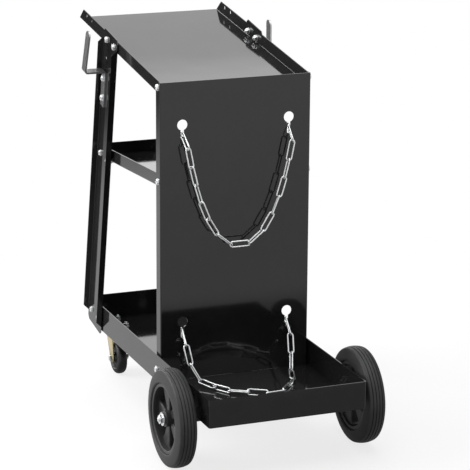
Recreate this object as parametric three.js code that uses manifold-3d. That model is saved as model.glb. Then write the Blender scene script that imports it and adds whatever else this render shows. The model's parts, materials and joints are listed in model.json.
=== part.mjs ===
// Welding cart: three bent-sheet shelves on a rear panel and two leaning front legs, a cylinder bay
// behind the panel with two hanging chains, two large rear wheels and two swivel casters.
// Millimetres, +Z up, +Y towards the cylinder bay, floor at Z = 0, origin under the middle of the box.
import * as THREE from "three";
import { mergeVertices } from "three/addons/utils/BufferGeometryUtils.js";
import Module from "manifold-3d";

const wasm = await Module();
wasm.setup();

// Sheet metal
const SHEET = 1.5;
const BEND = 2.5; // outer radius of every folded edge
const SEAT = 0.3; // gap left between pieces that rest on each other
const EDGE_STEPS = 3;

// Bottom tray, whose height and all heights above it follow from the rear wheels
const WHEEL_RADIUS = 86;
const AXLE_DEPTH = 10; // of the axle's middle below the tray
const TRAY_HALF = 144;
const TRAY_BOTTOM = WHEEL_RADIUS + AXLE_DEPTH;
const TRAY_WALL = 49;
const TRAY_FRONT = -397;
const TRAY_REAR = 251.5;
const TRAY_CORNER = 4;
const TRAY_FLOOR = TRAY_BOTTOM + SHEET;

// Rear panel, which stands in the tray; its outer face is the plane Y = 0 of the working frame
const PANEL_MARGIN = 2; // between its sides and the inside of the tray
const PANEL_HALF = TRAY_HALF - SHEET - PANEL_MARGIN;
const PANEL_RISE = 540; // of its top edge above the tray's underside
const PANEL_TOP = TRAY_BOTTOM + PANEL_RISE;
const PANEL_FLANGE = 21;
const KEYHOLE_X = 99.5;
const KEYHOLE_RADIUS = 9.6;
const KEYHOLE_SLOT = 6.4;
const KEYHOLE_DROP = 29.5; // from the round hole's centre to the end of its slot
const UPPER_KEYHOLE_DEPTH = 76; // of the round holes' centres below the panel's top
const LOWER_KEYHOLE_RISE = 108.5; // and above the tray's underside
const UPPER_KEYHOLE_Z = PANEL_TOP - UPPER_KEYHOLE_DEPTH;
const LOWER_KEYHOLE_Z = TRAY_BOTTOM + LOWER_KEYHOLE_RISE;

// Front legs: channels that open outwards
const LEG_WEB = 80;
const LEG_FLANGE = 12;
const LEG_LENGTH = 591;
const LEG_TIP = 17; // length of bare web past each end of the flanges
const LEG_CORNER = 7;
const LEG_LEAN = THREE.MathUtils.degToRad(9.72);
const LEG_FOOT_Y = -363.9;
const LEG_FOOT_DROP = 2.2; // of the leg's end below the tray
const LEG_FOOT_Z = TRAY_BOTTOM - LEG_FOOT_DROP;
const LEG_TOP_Y = LEG_FOOT_Y + LEG_LENGTH * Math.sin(LEG_LEAN);
const LEG_TOP_Z = LEG_FOOT_Z + LEG_LENGTH * Math.cos(LEG_LEAN);
const LEG_HOLE_PITCH = 40;
const LEG_SPARE_HOLE = 3.4;
const LEG_SPARE_DEPTH = 53; // of the spare holes, from the leg's top

// Shelves, both between the panel's flanges; the top one slopes so that it meets the legs' tops
const SHELF_HALF = PANEL_HALF - SHEET - SEAT;
const SHELF_REAR = -SHEET - SEAT;
const TOP_DEPTH = 23.2; // of the sheet's underside below the panel's top
const TOP_REAR_Z = PANEL_TOP - TOP_DEPTH;
const LEG_PAST = 27.6; // of the leg's top above the sheet's underside
const TOP_SLOPE = Math.atan2(LEG_TOP_Z - LEG_PAST - TOP_REAR_Z, SHELF_REAR - LEG_TOP_Y);
const TOP_LENGTH = 458.5; // along the slope
const TOP_FLANGE = 22.5;
const TOP_SPARE_HOLE = 3.4;
const TOP_SPARE_SETBACK = 41; // of the first spare hole from the front edge
const TOP_SPARE_PITCH = 30.5;
const TOP_SPARE_RISE = 14.8; // above the shelf
const MIDDLE_SLOPE = THREE.MathUtils.degToRad(-3.2);
const MIDDLE_RISE = 355.5; // of the sheet's underside above the tray's
const MIDDLE_REAR_Z = TRAY_BOTTOM + MIDDLE_RISE;
const MIDDLE_LENGTH = 348.5;
const MIDDLE_WALL = 23;

// Cable hooks, flat bar bolted into the leg channels
const HOOK_WIDTH = 20;
const HOOK_BAR = 3;
const HOOK_BEND = 4;
const HOOK_LENGTH = 147; // from the foot's end to the round top
const HOOK_UPRIGHT = 78.5; // from the arm's middle to the round top
const HOOK_RISE = 1; // of the round top above the leg's top
const HOOK_REACH = 44;
const HOOK_CLOSE = 5; // by which the upright leans back at its top
const HOOK_TIP = LEG_LENGTH + HOOK_RISE;
const HOOK_FOOT = HOOK_TIP - HOOK_LENGTH;
const HOOK_ARM = HOOK_TIP - HOOK_UPRIGHT;

// Rear wheels and axle
const WHEEL_SETBACK = 99.1; // of the axle from the tray's rear wall
const WHEEL_Y = TRAY_REAR - WHEEL_SETBACK;
const WHEEL_CLEARANCE = 14.3; // between the tray's side and the tyre
const TYRE_HALF = 15.5;
const WHEEL_X = TRAY_HALF + WHEEL_CLEARANCE + TYRE_HALF;
const TYRE_BORE = 62;
const TYRE_SIDES = 28;
const TREAD_HALF = 10.5;
const SIDEWALL_CROWN = 1; // how far the sidewall bulges between its two edges
const SHOULDER_DEPTH = 6;
const SHOULDER_LIP = 2;
const SHOULDER_INSET = 2.8;
const GROOVES = 4;
const GROOVE_PITCH = 4.8;
const GROOVE_WIDTH = 1.6;
const GROOVE_DEPTH = 1.8;
const RIM_HALF = 12.5;
const RIM_WALL = 4.2;
const RIM_SIDES = 32;
const SPOKES = 5;
const SPOKE_FIRST = THREE.MathUtils.degToRad(-18); // from straight up, towards the rear
const SPOKE_FACE = 8; // outer face of the spokes, from the wheel's middle plane
const SPOKE_DEPTH = 11;
const SPOKE_ROOT_HALF = 4.5;
const SPOKE_RIM_HALF = 17;
const BOSS_RADIUS = 17;
const BOSS_INNER = -17;
const BOSS_OUTER = 11;
const AXLE_RADIUS = 6;
const AXLE_TUBE_RADIUS = 9;
const RUNNING_GAP = 0.3;
const NUT_FLATS = 18;
const NUT_HEIGHT = 10;
const WASHER_RADIUS = 13.5;
const WASHER_HEIGHT = 2;
const AXLE_TAIL = 3.9; // of the axle's thread past its nut
const AXLE_HALF = WHEEL_X + BOSS_OUTER + RUNNING_GAP + WASHER_HEIGHT + NUT_HEIGHT + AXLE_TAIL;
const CLAMP_WIDTH = 24;
const CLAMP_MARGIN = 2;
const CLAMP_X = TRAY_HALF - CLAMP_WIDTH - CLAMP_MARGIN;
const CLAMP_FOOT = 28;
const CLAMP_BAR = 2.5;

// Swivel casters
const CASTER_INSET = 40; // of the swivel axis from the tray's side
const CASTER_SETBACK = 35; // and from its front wall
const CASTER_X = TRAY_HALF - CASTER_INSET;
const CASTER_Y = TRAY_FRONT + CASTER_SETBACK;
const CASTER_TRAIL = 15;
const CASTER_RADIUS = 31.5;
const CASTER_HALF = 9.5;
const CASTER_HUB = 8; // radius
const CASTER_HUB_RISE = 0.8;
const CASTER_DISH = 3;
const CASTER_DISH_SLOPE = 2;
const CASTER_BAND = 9; // width of the flat band round the dish
const CASTER_SIDES = 24;
const CASTER_BOLT = 3.2;
const BOLT_FLATS = 10;
const BOLT_HEAD = 4;
const BOLT_NUT = 4.5;
const BOLT_TAIL = 1.5; // of the thread past its nut
const PLATE_X = 54;
const PLATE_Y = 68;
const PLATE_THICK = 2.5;
const PLATE_CORNER = 6;
const CROWN_RADIUS = 21;
const CROWN_GAP = 6; // between the tray and the fork's crown, for the plate and the race
const CROWN_THICK = 7;
const CROWN_TOP = TRAY_BOTTOM - CROWN_GAP;
const RACE_RADIUS = 17;
const KINGPIN_RADIUS = 5;
const KINGPIN_HEAD = 8; // radius
const KINGPIN_HEAD_HEIGHT = 3.2;
const FORK_INSET = 4; // of the cheeks' edges from the crown's rim
const FORK_SKIRT = 6; // straight part of the cheeks below the crown
const FORK_PLATE = 2.5;
const FORK_INSIDE = 11.2;
const FORK_EYE = 9;

// Chains: each link is a torus whose halves are drawn apart
const WIRE = 1.5; // radius
const LINK_BEND = 4.9; // centreline radius of the link's round ends
const LINK_PITCH = 33.5;
const LINK_SLACK = 0.8;
const LINK_STRAIGHT = LINK_PITCH + LINK_SLACK - 2 * (LINK_BEND - WIRE);
const LINK_END = LINK_STRAIGHT / 2 + LINK_BEND; // from the link's middle to its end wire
const LINK_JOINT = LINK_PITCH / 2; // from the link's middle to the middle of the contact
const LINK_NEXT = 2 * (LINK_END - LINK_JOINT); // between the end wires of two neighbours
const LINK_REACH = LINK_END - LINK_NEXT; // from the link's middle to its neighbour's end wire
const LINK_HALF = LINK_BEND + WIRE;
const ANCHOR_TILT = THREE.MathUtils.degToRad(45); // of the links that pass through the slots
const STOP_Y = -SHEET - SEAT - WIRE; // of the cross links behind the panel
const ANCHOR_Y = STOP_Y + LINK_REACH * Math.cos(ANCHOR_TILT);
const ANCHOR_SAG = LINK_HALF / Math.cos(ANCHOR_TILT) - ANCHOR_Y * Math.tan(ANCHOR_TILT);
const ANCHOR_DROP = KEYHOLE_DROP - 2 * SEAT - ANCHOR_SAG; // from the round hole to the link's middle
const CHAIN_OUT = ANCHOR_Y + LINK_REACH * Math.cos(ANCHOR_TILT); // from the panel to the line of swing
const CHAIN_DROP = ANCHOR_DROP + LINK_REACH * Math.sin(ANCHOR_TILT);
const ANCHOR_ROLL = THREE.MathUtils.degToRad(12); // by which the same links lean in their slots
const UPPER_LINKS = 13; // that hang free between the two slots
const UPPER_PULL = 3.5; // how far the loop draws its left anchor sideways
const UPPER_TWIST = [-14, -30, -45, -45, -30, -14, 0, 0, 0, -16, 0, 0, 0]; // degrees, from the left
const LOWER_LINKS = 12;
const LOWER_TWIST = [0, 0, -6, -20, -36, -50, -60, -70, -80, -96, -96, -108];
const LOWER_REST = TRAY_FLOOR + LINK_HALF + 0.4;
const LOWER_DROP = [[96, 27, 40.5], [88, 38, 14.5]]; // down to the tray, heights above its floor
const LOWER_BOW = [[72, 58], [52, 88], [24, 103], [-3, 118], [-29, 122], [-53, 107], [-72, 82], [-83, 61]];
const LOWER_RISE = [[-90, 46, 14.5], [-96, 32, 41.5]]; // up to the right slot, likewise

// The working frame is moved so that the origin lies under the middle of the cart
const CART_FRONT = -TOP_LENGTH * Math.cos(TOP_SLOPE) + SHELF_REAR;
const CART_SHIFT = -(CART_FRONT + TRAY_REAR) / 2;

const X_AXIS = new THREE.Vector3(1, 0, 0);
const Y_AXIS = new THREE.Vector3(0, 1, 0);
const Z_AXIS = new THREE.Vector3(0, 0, 1);
const SIDES = [
  { name: "left", sign: 1 },
  { name: "right", sign: -1 },
];

const PAINT = { color: 0x0b0b0c, roughness: 0.15, metalness: 0 };
const STEEL = { color: 0xacacae, roughness: 0.35, metalness: 1 };
const RUBBER = { color: 0x1b1b1b, roughness: 0.75, metalness: 0 };
const PLASTIC = { color: 0x1f1f20, roughness: 0.5, metalness: 0 };
const ZINC = { color: 0xd9dadb, roughness: 0.3, metalness: 1 };
const YELLOW_ZINC = { color: 0xc9b36f, roughness: 0.35, metalness: 1 };

const cart = new THREE.Group();
const frame = new THREE.Group();
frame.position.y = CART_SHIFT;
cart.add(frame);

// Closed solid of a geometry, for joining and cutting
function solid(geometry) {
  const bare = new THREE.BufferGeometry();
  const flat = geometry.index ? geometry.toNonIndexed() : geometry;
  bare.setAttribute("position", flat.getAttribute("position").clone());
  const merged = mergeVertices(bare, 1e-4);
  return new wasm.Manifold(
    new wasm.Mesh({
      numProp: 3,
      vertProperties: merged.getAttribute("position").array,
      triVerts: new Uint32Array(merged.index.array),
    }),
  );
}

function geometryOf(body) {
  const mesh = body.getMesh();
  const geometry = new THREE.BufferGeometry();
  geometry.setAttribute("position", new THREE.BufferAttribute(mesh.vertProperties, 3));
  geometry.setIndex(new THREE.BufferAttribute(mesh.triVerts, 1));
  geometry.computeVertexNormals();
  return geometry;
}

const join = (first, ...others) => others.reduce((body, next) => body.add(next), first);
const cut = (first, ...others) => others.reduce((body, next) => body.subtract(next), first);

function addPart(parent, name, geometry, finish) {
  const mesh = new THREE.Mesh(geometry, new THREE.MeshStandardMaterial(finish));
  mesh.name = name;
  parent.add(mesh);
  return mesh;
}

// A group whose X axis points away from the cart's middle plane
function sideGroup(parent, sign) {
  const group = new THREE.Group();
  group.scale.x = sign;
  parent.add(group);
  return group;
}

const outline = (points) => new THREE.Shape(points.map(([u, v]) => new THREE.Vector2(u, v)));

function extrude(shape, depth, steps = EDGE_STEPS) {
  const settings = { depth, bevelEnabled: false, curveSegments: steps, steps: 1 };
  return new THREE.ExtrudeGeometry(shape, settings);
}

// Outlines in the YZ, XZ and XY planes, extruded along X, Y and Z between two stations
function alongX(shape, from, to, steps) {
  const turn = new THREE.Matrix4().makeBasis(Y_AXIS, Z_AXIS, X_AXIS);
  return solid(extrude(shape, to - from, steps).applyMatrix4(turn).translate(from, 0, 0));
}

function alongY(shape, from, to, steps) {
  const turn = new THREE.Matrix4().makeBasis(X_AXIS, Z_AXIS, Y_AXIS.clone().negate());
  return solid(extrude(shape, to - from, steps).applyMatrix4(turn).translate(0, to, 0));
}

function alongZ(shape, from, to, steps) {
  return solid(extrude(shape, to - from, steps).translate(0, 0, from));
}

function box(x0, x1, y0, y1, z0, z1) {
  return alongZ(outline([[x0, y0], [x1, y0], [x1, y1], [x0, y1]]), z0, z1);
}

function roundedRectangle(x0, x1, y0, y1, radius) {
  const shape = new THREE.Shape();
  shape.moveTo(x0 + radius, y0);
  shape.lineTo(x1 - radius, y0);
  shape.absarc(x1 - radius, y0 + radius, radius, -Math.PI / 2, 0, false);
  shape.lineTo(x1, y1 - radius);
  shape.absarc(x1 - radius, y1 - radius, radius, 0, Math.PI / 2, false);
  shape.lineTo(x0 + radius, y1);
  shape.absarc(x0 + radius, y1 - radius, radius, Math.PI / 2, Math.PI, false);
  shape.lineTo(x0, y0 + radius);
  shape.absarc(x0 + radius, y0 + radius, radius, Math.PI, 1.5 * Math.PI, false);
  return shape;
}

// Section of a folded channel: the web lies on V = 0 and both flanges rise to V = flange
function channelSection(half, flange) {
  const inner = BEND - SHEET;
  const shape = new THREE.Shape();
  shape.moveTo(-half, flange);
  shape.lineTo(-half, BEND);
  shape.absarc(BEND - half, BEND, BEND, Math.PI, 1.5 * Math.PI, false);
  shape.lineTo(half - BEND, 0);
  shape.absarc(half - BEND, BEND, BEND, 1.5 * Math.PI, 2 * Math.PI, false);
  shape.lineTo(half, flange);
  shape.lineTo(half - SHEET, flange);
  shape.lineTo(half - SHEET, BEND);
  shape.absarc(half - BEND, BEND, inner, 2 * Math.PI, 1.5 * Math.PI, true);
  shape.lineTo(BEND - half, SHEET);
  shape.absarc(BEND - half, BEND, inner, 1.5 * Math.PI, Math.PI, true);
  shape.lineTo(SHEET - half, flange);
  return shape;
}

// Flat bar bent along a path with rounded corners, as a closed outline
function barOutline(corners, thickness, radius, steps) {
  const points = corners.map(([u, v]) => new THREE.Vector2(u, v));
  const line = [points[0]];
  for (let i = 1; i < points.length - 1; i++) {
    const back = points[i - 1].clone().sub(points[i]).normalize();
    const ahead = points[i + 1].clone().sub(points[i]).normalize();
    const half = Math.acos(back.dot(ahead)) / 2;
    const reach = radius / Math.tan(half);
    const start = points[i].clone().addScaledVector(back, reach);
    const end = points[i].clone().addScaledVector(ahead, reach);
    const middle = back.clone().add(ahead).normalize();
    const centre = points[i].clone().addScaledVector(middle, radius / Math.sin(half));
    const from = start.clone().sub(centre);
    const turn = Math.atan2(from.cross(end.clone().sub(centre)), from.dot(end.clone().sub(centre)));
    for (let k = 0; k <= steps; k++) {
      line.push(from.clone().rotateAround(new THREE.Vector2(), (turn * k) / steps).add(centre));
    }
  }
  line.push(points[points.length - 1]);
  const near = [];
  const far = [];
  line.forEach((point, i) => {
    const before = point.clone().sub(line[Math.max(i - 1, 0)]).normalize();
    const after = line[Math.min(i + 1, line.length - 1)].clone().sub(point).normalize();
    const along = before.clone().add(after).normalize();
    const widen = before.lengthSq() && after.lengthSq() ? along.dot(after) : 1;
    const across = new THREE.Vector2(-along.y, along.x).multiplyScalar(thickness / 2 / widen);
    near.push(point.clone().sub(across));
    far.unshift(point.clone().add(across));
  });
  return new THREE.Shape([...near, ...far]);
}

// Profile of [radius, station] pairs turned about X; its flat sides touch the true circles
function turnedX(profile, sides) {
  const swell = 1 / Math.cos(Math.PI / sides);
  const points = profile.map(([radius, station]) => new THREE.Vector2(radius * swell, station));
  if (THREE.ShapeUtils.isClockWise(points)) {
    points.reverse();
  }
  points.push(points[0].clone());
  const geometry = new THREE.LatheGeometry(points, sides, Math.PI / sides);
  return solid(geometry.rotateZ(-Math.PI / 2));
}

function cylinderX(radius, from, to, sides) {
  return turnedX([[0, from], [radius, from], [radius, to], [0, to]], sides);
}

function hexagonX(flats, from, to) {
  return cylinderX(flats / 2, from, to, 6);
}

function cylinderZ(radius, from, to, sides) {
  const shape = new THREE.Shape();
  shape.absarc(0, 0, radius, 0, 2 * Math.PI, false);
  return alongZ(shape, from, to, sides / 2);
}

function bottomTray() {
  const outer = roundedRectangle(-TRAY_HALF, TRAY_HALF, TRAY_FRONT, TRAY_REAR, TRAY_CORNER);
  const inner = roundedRectangle(
    SHEET - TRAY_HALF,
    TRAY_HALF - SHEET,
    TRAY_FRONT + SHEET,
    TRAY_REAR - SHEET,
    TRAY_CORNER - SHEET,
  );
  const top = TRAY_BOTTOM + TRAY_WALL;
  return geometryOf(cut(alongZ(outer, TRAY_BOTTOM, top), alongZ(inner, TRAY_FLOOR, top + 1)));
}

// Round hole above a narrow slot, through the panel
function keyhole(x, z) {
  const half = KEYHOLE_SLOT / 2;
  const shape = new THREE.Shape();
  const meet = Math.asin(half / KEYHOLE_RADIUS);
  const end = z - KEYHOLE_DROP + half;
  shape.absarc(x, z, KEYHOLE_RADIUS, meet - Math.PI / 2, 1.5 * Math.PI - meet, false);
  shape.lineTo(x - half, end);
  shape.absarc(x, end, half, Math.PI, 2 * Math.PI, false);
  return alongY(shape, -SHEET - 1, 1, 8);
}

function rearPanel() {
  const section = channelSection(PANEL_HALF, PANEL_FLANGE);
  const sheet = solid(
    extrude(section, PANEL_TOP - TRAY_FLOOR - SEAT)
      .rotateZ(Math.PI)
      .translate(0, 0, TRAY_FLOOR + SEAT),
  );
  const holes = [UPPER_KEYHOLE_Z, LOWER_KEYHOLE_Z].flatMap((z) => [
    keyhole(KEYHOLE_X, z),
    keyhole(-KEYHOLE_X, z),
  ]);
  return geometryOf(cut(sheet, ...holes));
}

// Channel laid with its web as the shelf, then tipped; cutters trim it at the panel and at the front
function tippedShelf(length, flange, slope, rearZ, front) {
  const reach = length + flange;
  let sheet = alongY(channelSection(SHELF_HALF, flange), -length, flange);
  sheet = front(sheet);
  const tip = new THREE.Matrix4().makeRotationX(-slope).setPosition(0, SHELF_REAR, rearZ);
  sheet = sheet.transform(tip.elements);
  return geometryOf(cut(sheet, box(-reach, reach, SHELF_REAR, reach, 0, 2 * rearZ)));
}

function topShelf() {
  const mitre = (sheet) => {
    const corner = outline([
      [-TOP_LENGTH - 1, SHEET],
      [-TOP_LENGTH, SHEET],
      [-TOP_LENGTH + TOP_FLANGE, TOP_FLANGE + SHEET],
      [-TOP_LENGTH - 1, TOP_FLANGE + SHEET],
    ]);
    const side = SHELF_HALF + 1;
    const spares = [0, TOP_SPARE_PITCH].map((back) =>
      cylinderX(TOP_SPARE_HOLE, -side, side, 8).translate(
        0,
        TOP_SPARE_SETBACK + back - TOP_LENGTH,
        SHEET + TOP_SPARE_RISE,
      ),
    );
    return cut(sheet, alongX(corner, -side, side), ...spares);
  };
  return tippedShelf(TOP_LENGTH, TOP_FLANGE, TOP_SLOPE, TOP_REAR_Z, mitre);
}

function middleShelf() {
  const wall = (sheet) => {
    const fold = barOutline(
      [
        [-MIDDLE_LENGTH / 2, SHEET / 2],
        [SHEET / 2 - MIDDLE_LENGTH, SHEET / 2],
        [SHEET / 2 - MIDDLE_LENGTH, MIDDLE_WALL],
      ],
      SHEET,
      BEND - SHEET / 2,
      EDGE_STEPS,
    );
    const corner = outline([
      [-MIDDLE_LENGTH - 1, -1],
      [-MIDDLE_LENGTH + BEND, -1],
      [-MIDDLE_LENGTH + BEND, MIDDLE_WALL + 1],
      [-MIDDLE_LENGTH - 1, MIDDLE_WALL + 1],
    ]);
    const inside = SHELF_HALF - BEND;
    const trimmed = cut(sheet, alongX(corner, -inside, inside));
    return join(trimmed, alongX(fold, -inside, inside));
  };
  return tippedShelf(MIDDLE_LENGTH, MIDDLE_WALL, MIDDLE_SLOPE, MIDDLE_REAR_Z, wall);
}

// Channel leg in its own frame: X outwards from the web's inner face, Y across, Z along the leg
function frontLeg() {
  const turn = new THREE.Matrix4().makeBasis(Y_AXIS, X_AXIS, Z_AXIS.clone().negate());
  const section = channelSection(LEG_WEB / 2, LEG_FLANGE);
  const blank = extrude(section, LEG_LENGTH).applyMatrix4(turn).translate(0, 0, LEG_LENGTH);
  let leg = solid(blank);
  const rise = LEG_FLANGE - SHEET + 1;
  const across = LEG_WEB / 2 + 1;
  const lower = outline([
    [SHEET, -1],
    [SHEET + rise, -1],
    [SHEET + rise, LEG_TIP + rise],
    [SHEET, LEG_TIP],
  ]);
  const upper = outline([
    [SHEET, LEG_LENGTH - LEG_TIP],
    [SHEET + rise, LEG_LENGTH - LEG_TIP - rise],
    [SHEET + rise, LEG_LENGTH + 1],
    [SHEET, LEG_LENGTH + 1],
  ]);
  leg = cut(leg, alongY(lower, -across, across), alongY(upper, -across, across));
  for (const sign of [-1, 1]) {
    for (const [end, inward] of [[0, 1], [LEG_LENGTH, -1]]) {
      const edge = (sign * LEG_WEB) / 2;
      const corner = [
        [edge + sign, end - inward],
        [edge - sign * LEG_CORNER, end - inward],
        [edge - sign * LEG_CORNER, end],
        [edge, end + inward * LEG_CORNER],
        [edge + sign, end + inward * LEG_CORNER],
      ];
      if (sign * inward > 0) {
        corner.reverse();
      }
      leg = cut(leg, alongX(outline(corner), -1, SHEET + 0.5));
    }
    const hole = new THREE.Shape();
    const across = (sign * LEG_HOLE_PITCH) / 2;
    hole.absarc(across, LEG_LENGTH - LEG_SPARE_DEPTH, LEG_SPARE_HOLE, 0, 2 * Math.PI, false);
    leg = cut(leg, alongX(hole, -1, SHEET + 1, 6));
  }
  return geometryOf(leg);
}

// Flat bar with a foot on the leg's web, an arm outwards and a round-topped upright
function cableHook() {
  const foot = SHEET + SEAT + HOOK_BAR / 2;
  const upright = HOOK_REACH - HOOK_BAR / 2;
  const path = [
    [foot, HOOK_FOOT],
    [foot, HOOK_ARM],
    [upright, HOOK_ARM],
    [upright - HOOK_CLOSE, HOOK_TIP],
  ];
  const middle = -LEG_HOLE_PITCH / 2;
  const half = HOOK_WIDTH / 2;
  const bar = alongY(barOutline(path, HOOK_BAR, HOOK_BEND, 4), middle - half, middle + half);
  const face = new THREE.Shape();
  face.moveTo(middle - half, HOOK_FOOT - 1);
  face.lineTo(middle + half, HOOK_FOOT - 1);
  face.lineTo(middle + half, HOOK_TIP - half);
  face.absarc(middle, HOOK_TIP - half, half, 0, Math.PI, false);
  return geometryOf(bar.intersect(alongX(face, 0, HOOK_REACH + 1, 8)));
}

// Ribbed tread, round shoulders and a bore that sits on the rim
function rearTyre() {
  const profile = [
    [TYRE_BORE, -RIM_HALF],
    [TYRE_BORE, RIM_HALF],
    [TYRE_BORE + SHOULDER_DEPTH, TYRE_HALF - SIDEWALL_CROWN],
    [(TYRE_BORE + WHEEL_RADIUS) / 2, TYRE_HALF],
    [WHEEL_RADIUS - SHOULDER_DEPTH, TYRE_HALF - SIDEWALL_CROWN],
    [WHEEL_RADIUS - SHOULDER_LIP, TYRE_HALF - SHOULDER_INSET],
    [WHEEL_RADIUS, TREAD_HALF],
  ];
  for (let i = 0; i < GROOVES; i++) {
    const middle = ((GROOVES - 1) / 2 - i) * GROOVE_PITCH;
    profile.push(
      [WHEEL_RADIUS, middle + GROOVE_WIDTH / 2],
      [WHEEL_RADIUS - GROOVE_DEPTH, middle],
      [WHEEL_RADIUS, middle - GROOVE_WIDTH / 2],
    );
  }
  profile.push(
    [WHEEL_RADIUS, -TREAD_HALF],
    [WHEEL_RADIUS - SHOULDER_LIP, SHOULDER_INSET - TYRE_HALF],
    [WHEEL_RADIUS - SHOULDER_DEPTH, SIDEWALL_CROWN - TYRE_HALF],
    [(TYRE_BORE + WHEEL_RADIUS) / 2, -TYRE_HALF],
    [TYRE_BORE + SHOULDER_DEPTH, SIDEWALL_CROWN - TYRE_HALF],
  );
  return geometryOf(turnedX(profile, TYRE_SIDES));
}

// Rim ring, tapered spokes and a bored boss in one moulding
function rearRim() {
  const seat = TYRE_BORE - SEAT;
  const ring = turnedX(
    [
      [seat - RIM_WALL, RIM_HALF],
      [seat, RIM_HALF],
      [seat, -RIM_HALF],
      [seat - RIM_WALL, -RIM_HALF],
    ],
    RIM_SIDES,
  );
  const boss = cylinderX(BOSS_RADIUS, BOSS_INNER, BOSS_OUTER, RIM_SIDES / 2);
  const reach = seat - RIM_WALL / 2;
  const spoke = outline([
    [-SPOKE_ROOT_HALF, BOSS_RADIUS / 2],
    [SPOKE_ROOT_HALF, BOSS_RADIUS / 2],
    [SPOKE_RIM_HALF, Math.sqrt(reach ** 2 - SPOKE_RIM_HALF ** 2)],
    [0, reach],
    [-SPOKE_RIM_HALF, Math.sqrt(reach ** 2 - SPOKE_RIM_HALF ** 2)],
  ]);
  const blade = alongX(spoke, SPOKE_FACE - SPOKE_DEPTH, SPOKE_FACE);
  const blades = [];
  for (let i = 0; i < SPOKES; i++) {
    const turn = new THREE.Matrix4().makeRotationX(-SPOKE_FIRST - (2 * Math.PI * i) / SPOKES);
    blades.push(blade.transform(turn.elements));
  }
  const bore = cylinderX(AXLE_RADIUS + RUNNING_GAP, BOSS_INNER - 1, BOSS_OUTER + 1, RIM_SIDES / 2);
  return geometryOf(cut(join(ring, boss, ...blades), bore));
}

// Tube under the tray with a turned-down journal at each end
function axleBar() {
  const shoulder = WHEEL_X + BOSS_INNER - RUNNING_GAP;
  const profile = [
    [0, AXLE_HALF],
    [AXLE_RADIUS - 1, AXLE_HALF],
    [AXLE_RADIUS, AXLE_HALF - 1],
    [AXLE_RADIUS, shoulder],
    [AXLE_TUBE_RADIUS, shoulder],
    [AXLE_TUBE_RADIUS, -shoulder],
    [AXLE_RADIUS, -shoulder],
    [AXLE_RADIUS, 1 - AXLE_HALF],
    [AXLE_RADIUS - 1, -AXLE_HALF],
    [0, -AXLE_HALF],
  ];
  return geometryOf(turnedX(profile, 16));
}

function axleNut() {
  const from = BOSS_OUTER + RUNNING_GAP;
  const washer = cylinderX(WASHER_RADIUS, from, from + WASHER_HEIGHT, 20);
  const nut = hexagonX(NUT_FLATS, from, from + WASHER_HEIGHT + NUT_HEIGHT);
  const bore = cylinderX(AXLE_RADIUS + RUNNING_GAP, from - 1, from + 2 * NUT_HEIGHT, 16);
  return geometryOf(cut(join(washer, nut), bore));
}

// Saddle strap that holds the axle tube up under the tray
function axleClamp() {
  const top = TRAY_BOTTOM - SEAT - WHEEL_RADIUS;
  const inner = AXLE_TUBE_RADIUS + SEAT;
  const outer = inner + CLAMP_BAR;
  const shape = new THREE.Shape();
  shape.moveTo(-CLAMP_FOOT, top);
  shape.lineTo(-CLAMP_FOOT, top - CLAMP_BAR);
  shape.lineTo(-outer, top - CLAMP_BAR);
  shape.lineTo(-outer, 0);
  shape.absarc(0, 0, outer, Math.PI, 2 * Math.PI, false);
  shape.lineTo(outer, top - CLAMP_BAR);
  shape.lineTo(CLAMP_FOOT, top - CLAMP_BAR);
  shape.lineTo(CLAMP_FOOT, top);
  shape.lineTo(inner, top);
  shape.lineTo(inner, 0);
  shape.absarc(0, 0, inner, 2 * Math.PI, Math.PI, true);
  shape.lineTo(-inner, top);
  return geometryOf(alongX(shape, 0, CLAMP_WIDTH, 8));
}

// Mounting plate with the upper ball race and the kingpin, whose head carries the fork
function casterPlate() {
  const top = TRAY_BOTTOM - SEAT;
  const plate = alongZ(
    roundedRectangle(-PLATE_X / 2, PLATE_X / 2, -PLATE_Y / 2, PLATE_Y / 2, PLATE_CORNER),
    top - PLATE_THICK,
    top,
  );
  const race = cylinderZ(RACE_RADIUS, CROWN_TOP + SEAT, top - PLATE_THICK + 0.5, 24);
  const bottom = CROWN_TOP - CROWN_THICK;
  const pin = cylinderZ(KINGPIN_RADIUS, bottom - KINGPIN_HEAD_HEIGHT, top - SEAT, 16);
  const head = cylinderZ(KINGPIN_HEAD, bottom - SEAT - KINGPIN_HEAD_HEIGHT, bottom - SEAT, 16);
  return geometryOf(join(plate, race, pin, head));
}

// Pressed fork: a dished crown and two cheeks that taper back to the wheel's axle
function casterFork() {
  const bottom = CROWN_TOP - CROWN_THICK;
  const crown = cylinderZ(CROWN_RADIUS, bottom, CROWN_TOP, 28);
  const cheek = new THREE.Shape();
  const lean = Math.PI / 5;
  const edge = CROWN_RADIUS - FORK_INSET;
  cheek.moveTo(-edge, CROWN_TOP - SEAT);
  cheek.lineTo(-edge, bottom - FORK_SKIRT);
  cheek.absarc(CASTER_TRAIL, CASTER_RADIUS, FORK_EYE, Math.PI + lean, 2 * Math.PI + lean / 2, false);
  cheek.lineTo(edge, bottom - FORK_SKIRT / 3);
  cheek.lineTo(edge, CROWN_TOP - SEAT);
  const outer = FORK_INSIDE + FORK_PLATE;
  const cheeks = [
    alongX(cheek, FORK_INSIDE, outer, 6),
    alongX(cheek, -outer, -FORK_INSIDE, 6),
  ];
  const pinHole = cylinderZ(KINGPIN_RADIUS + RUNNING_GAP, bottom - 1, CROWN_TOP + 1, 16);
  const bolt = cylinderX(CASTER_BOLT + RUNNING_GAP, -outer - 1, outer + 1, 12);
  const boltHole = bolt.translate([0, CASTER_TRAIL, CASTER_RADIUS]);
  return geometryOf(cut(join(crown, ...cheeks), pinHole, boltHole));
}

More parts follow.
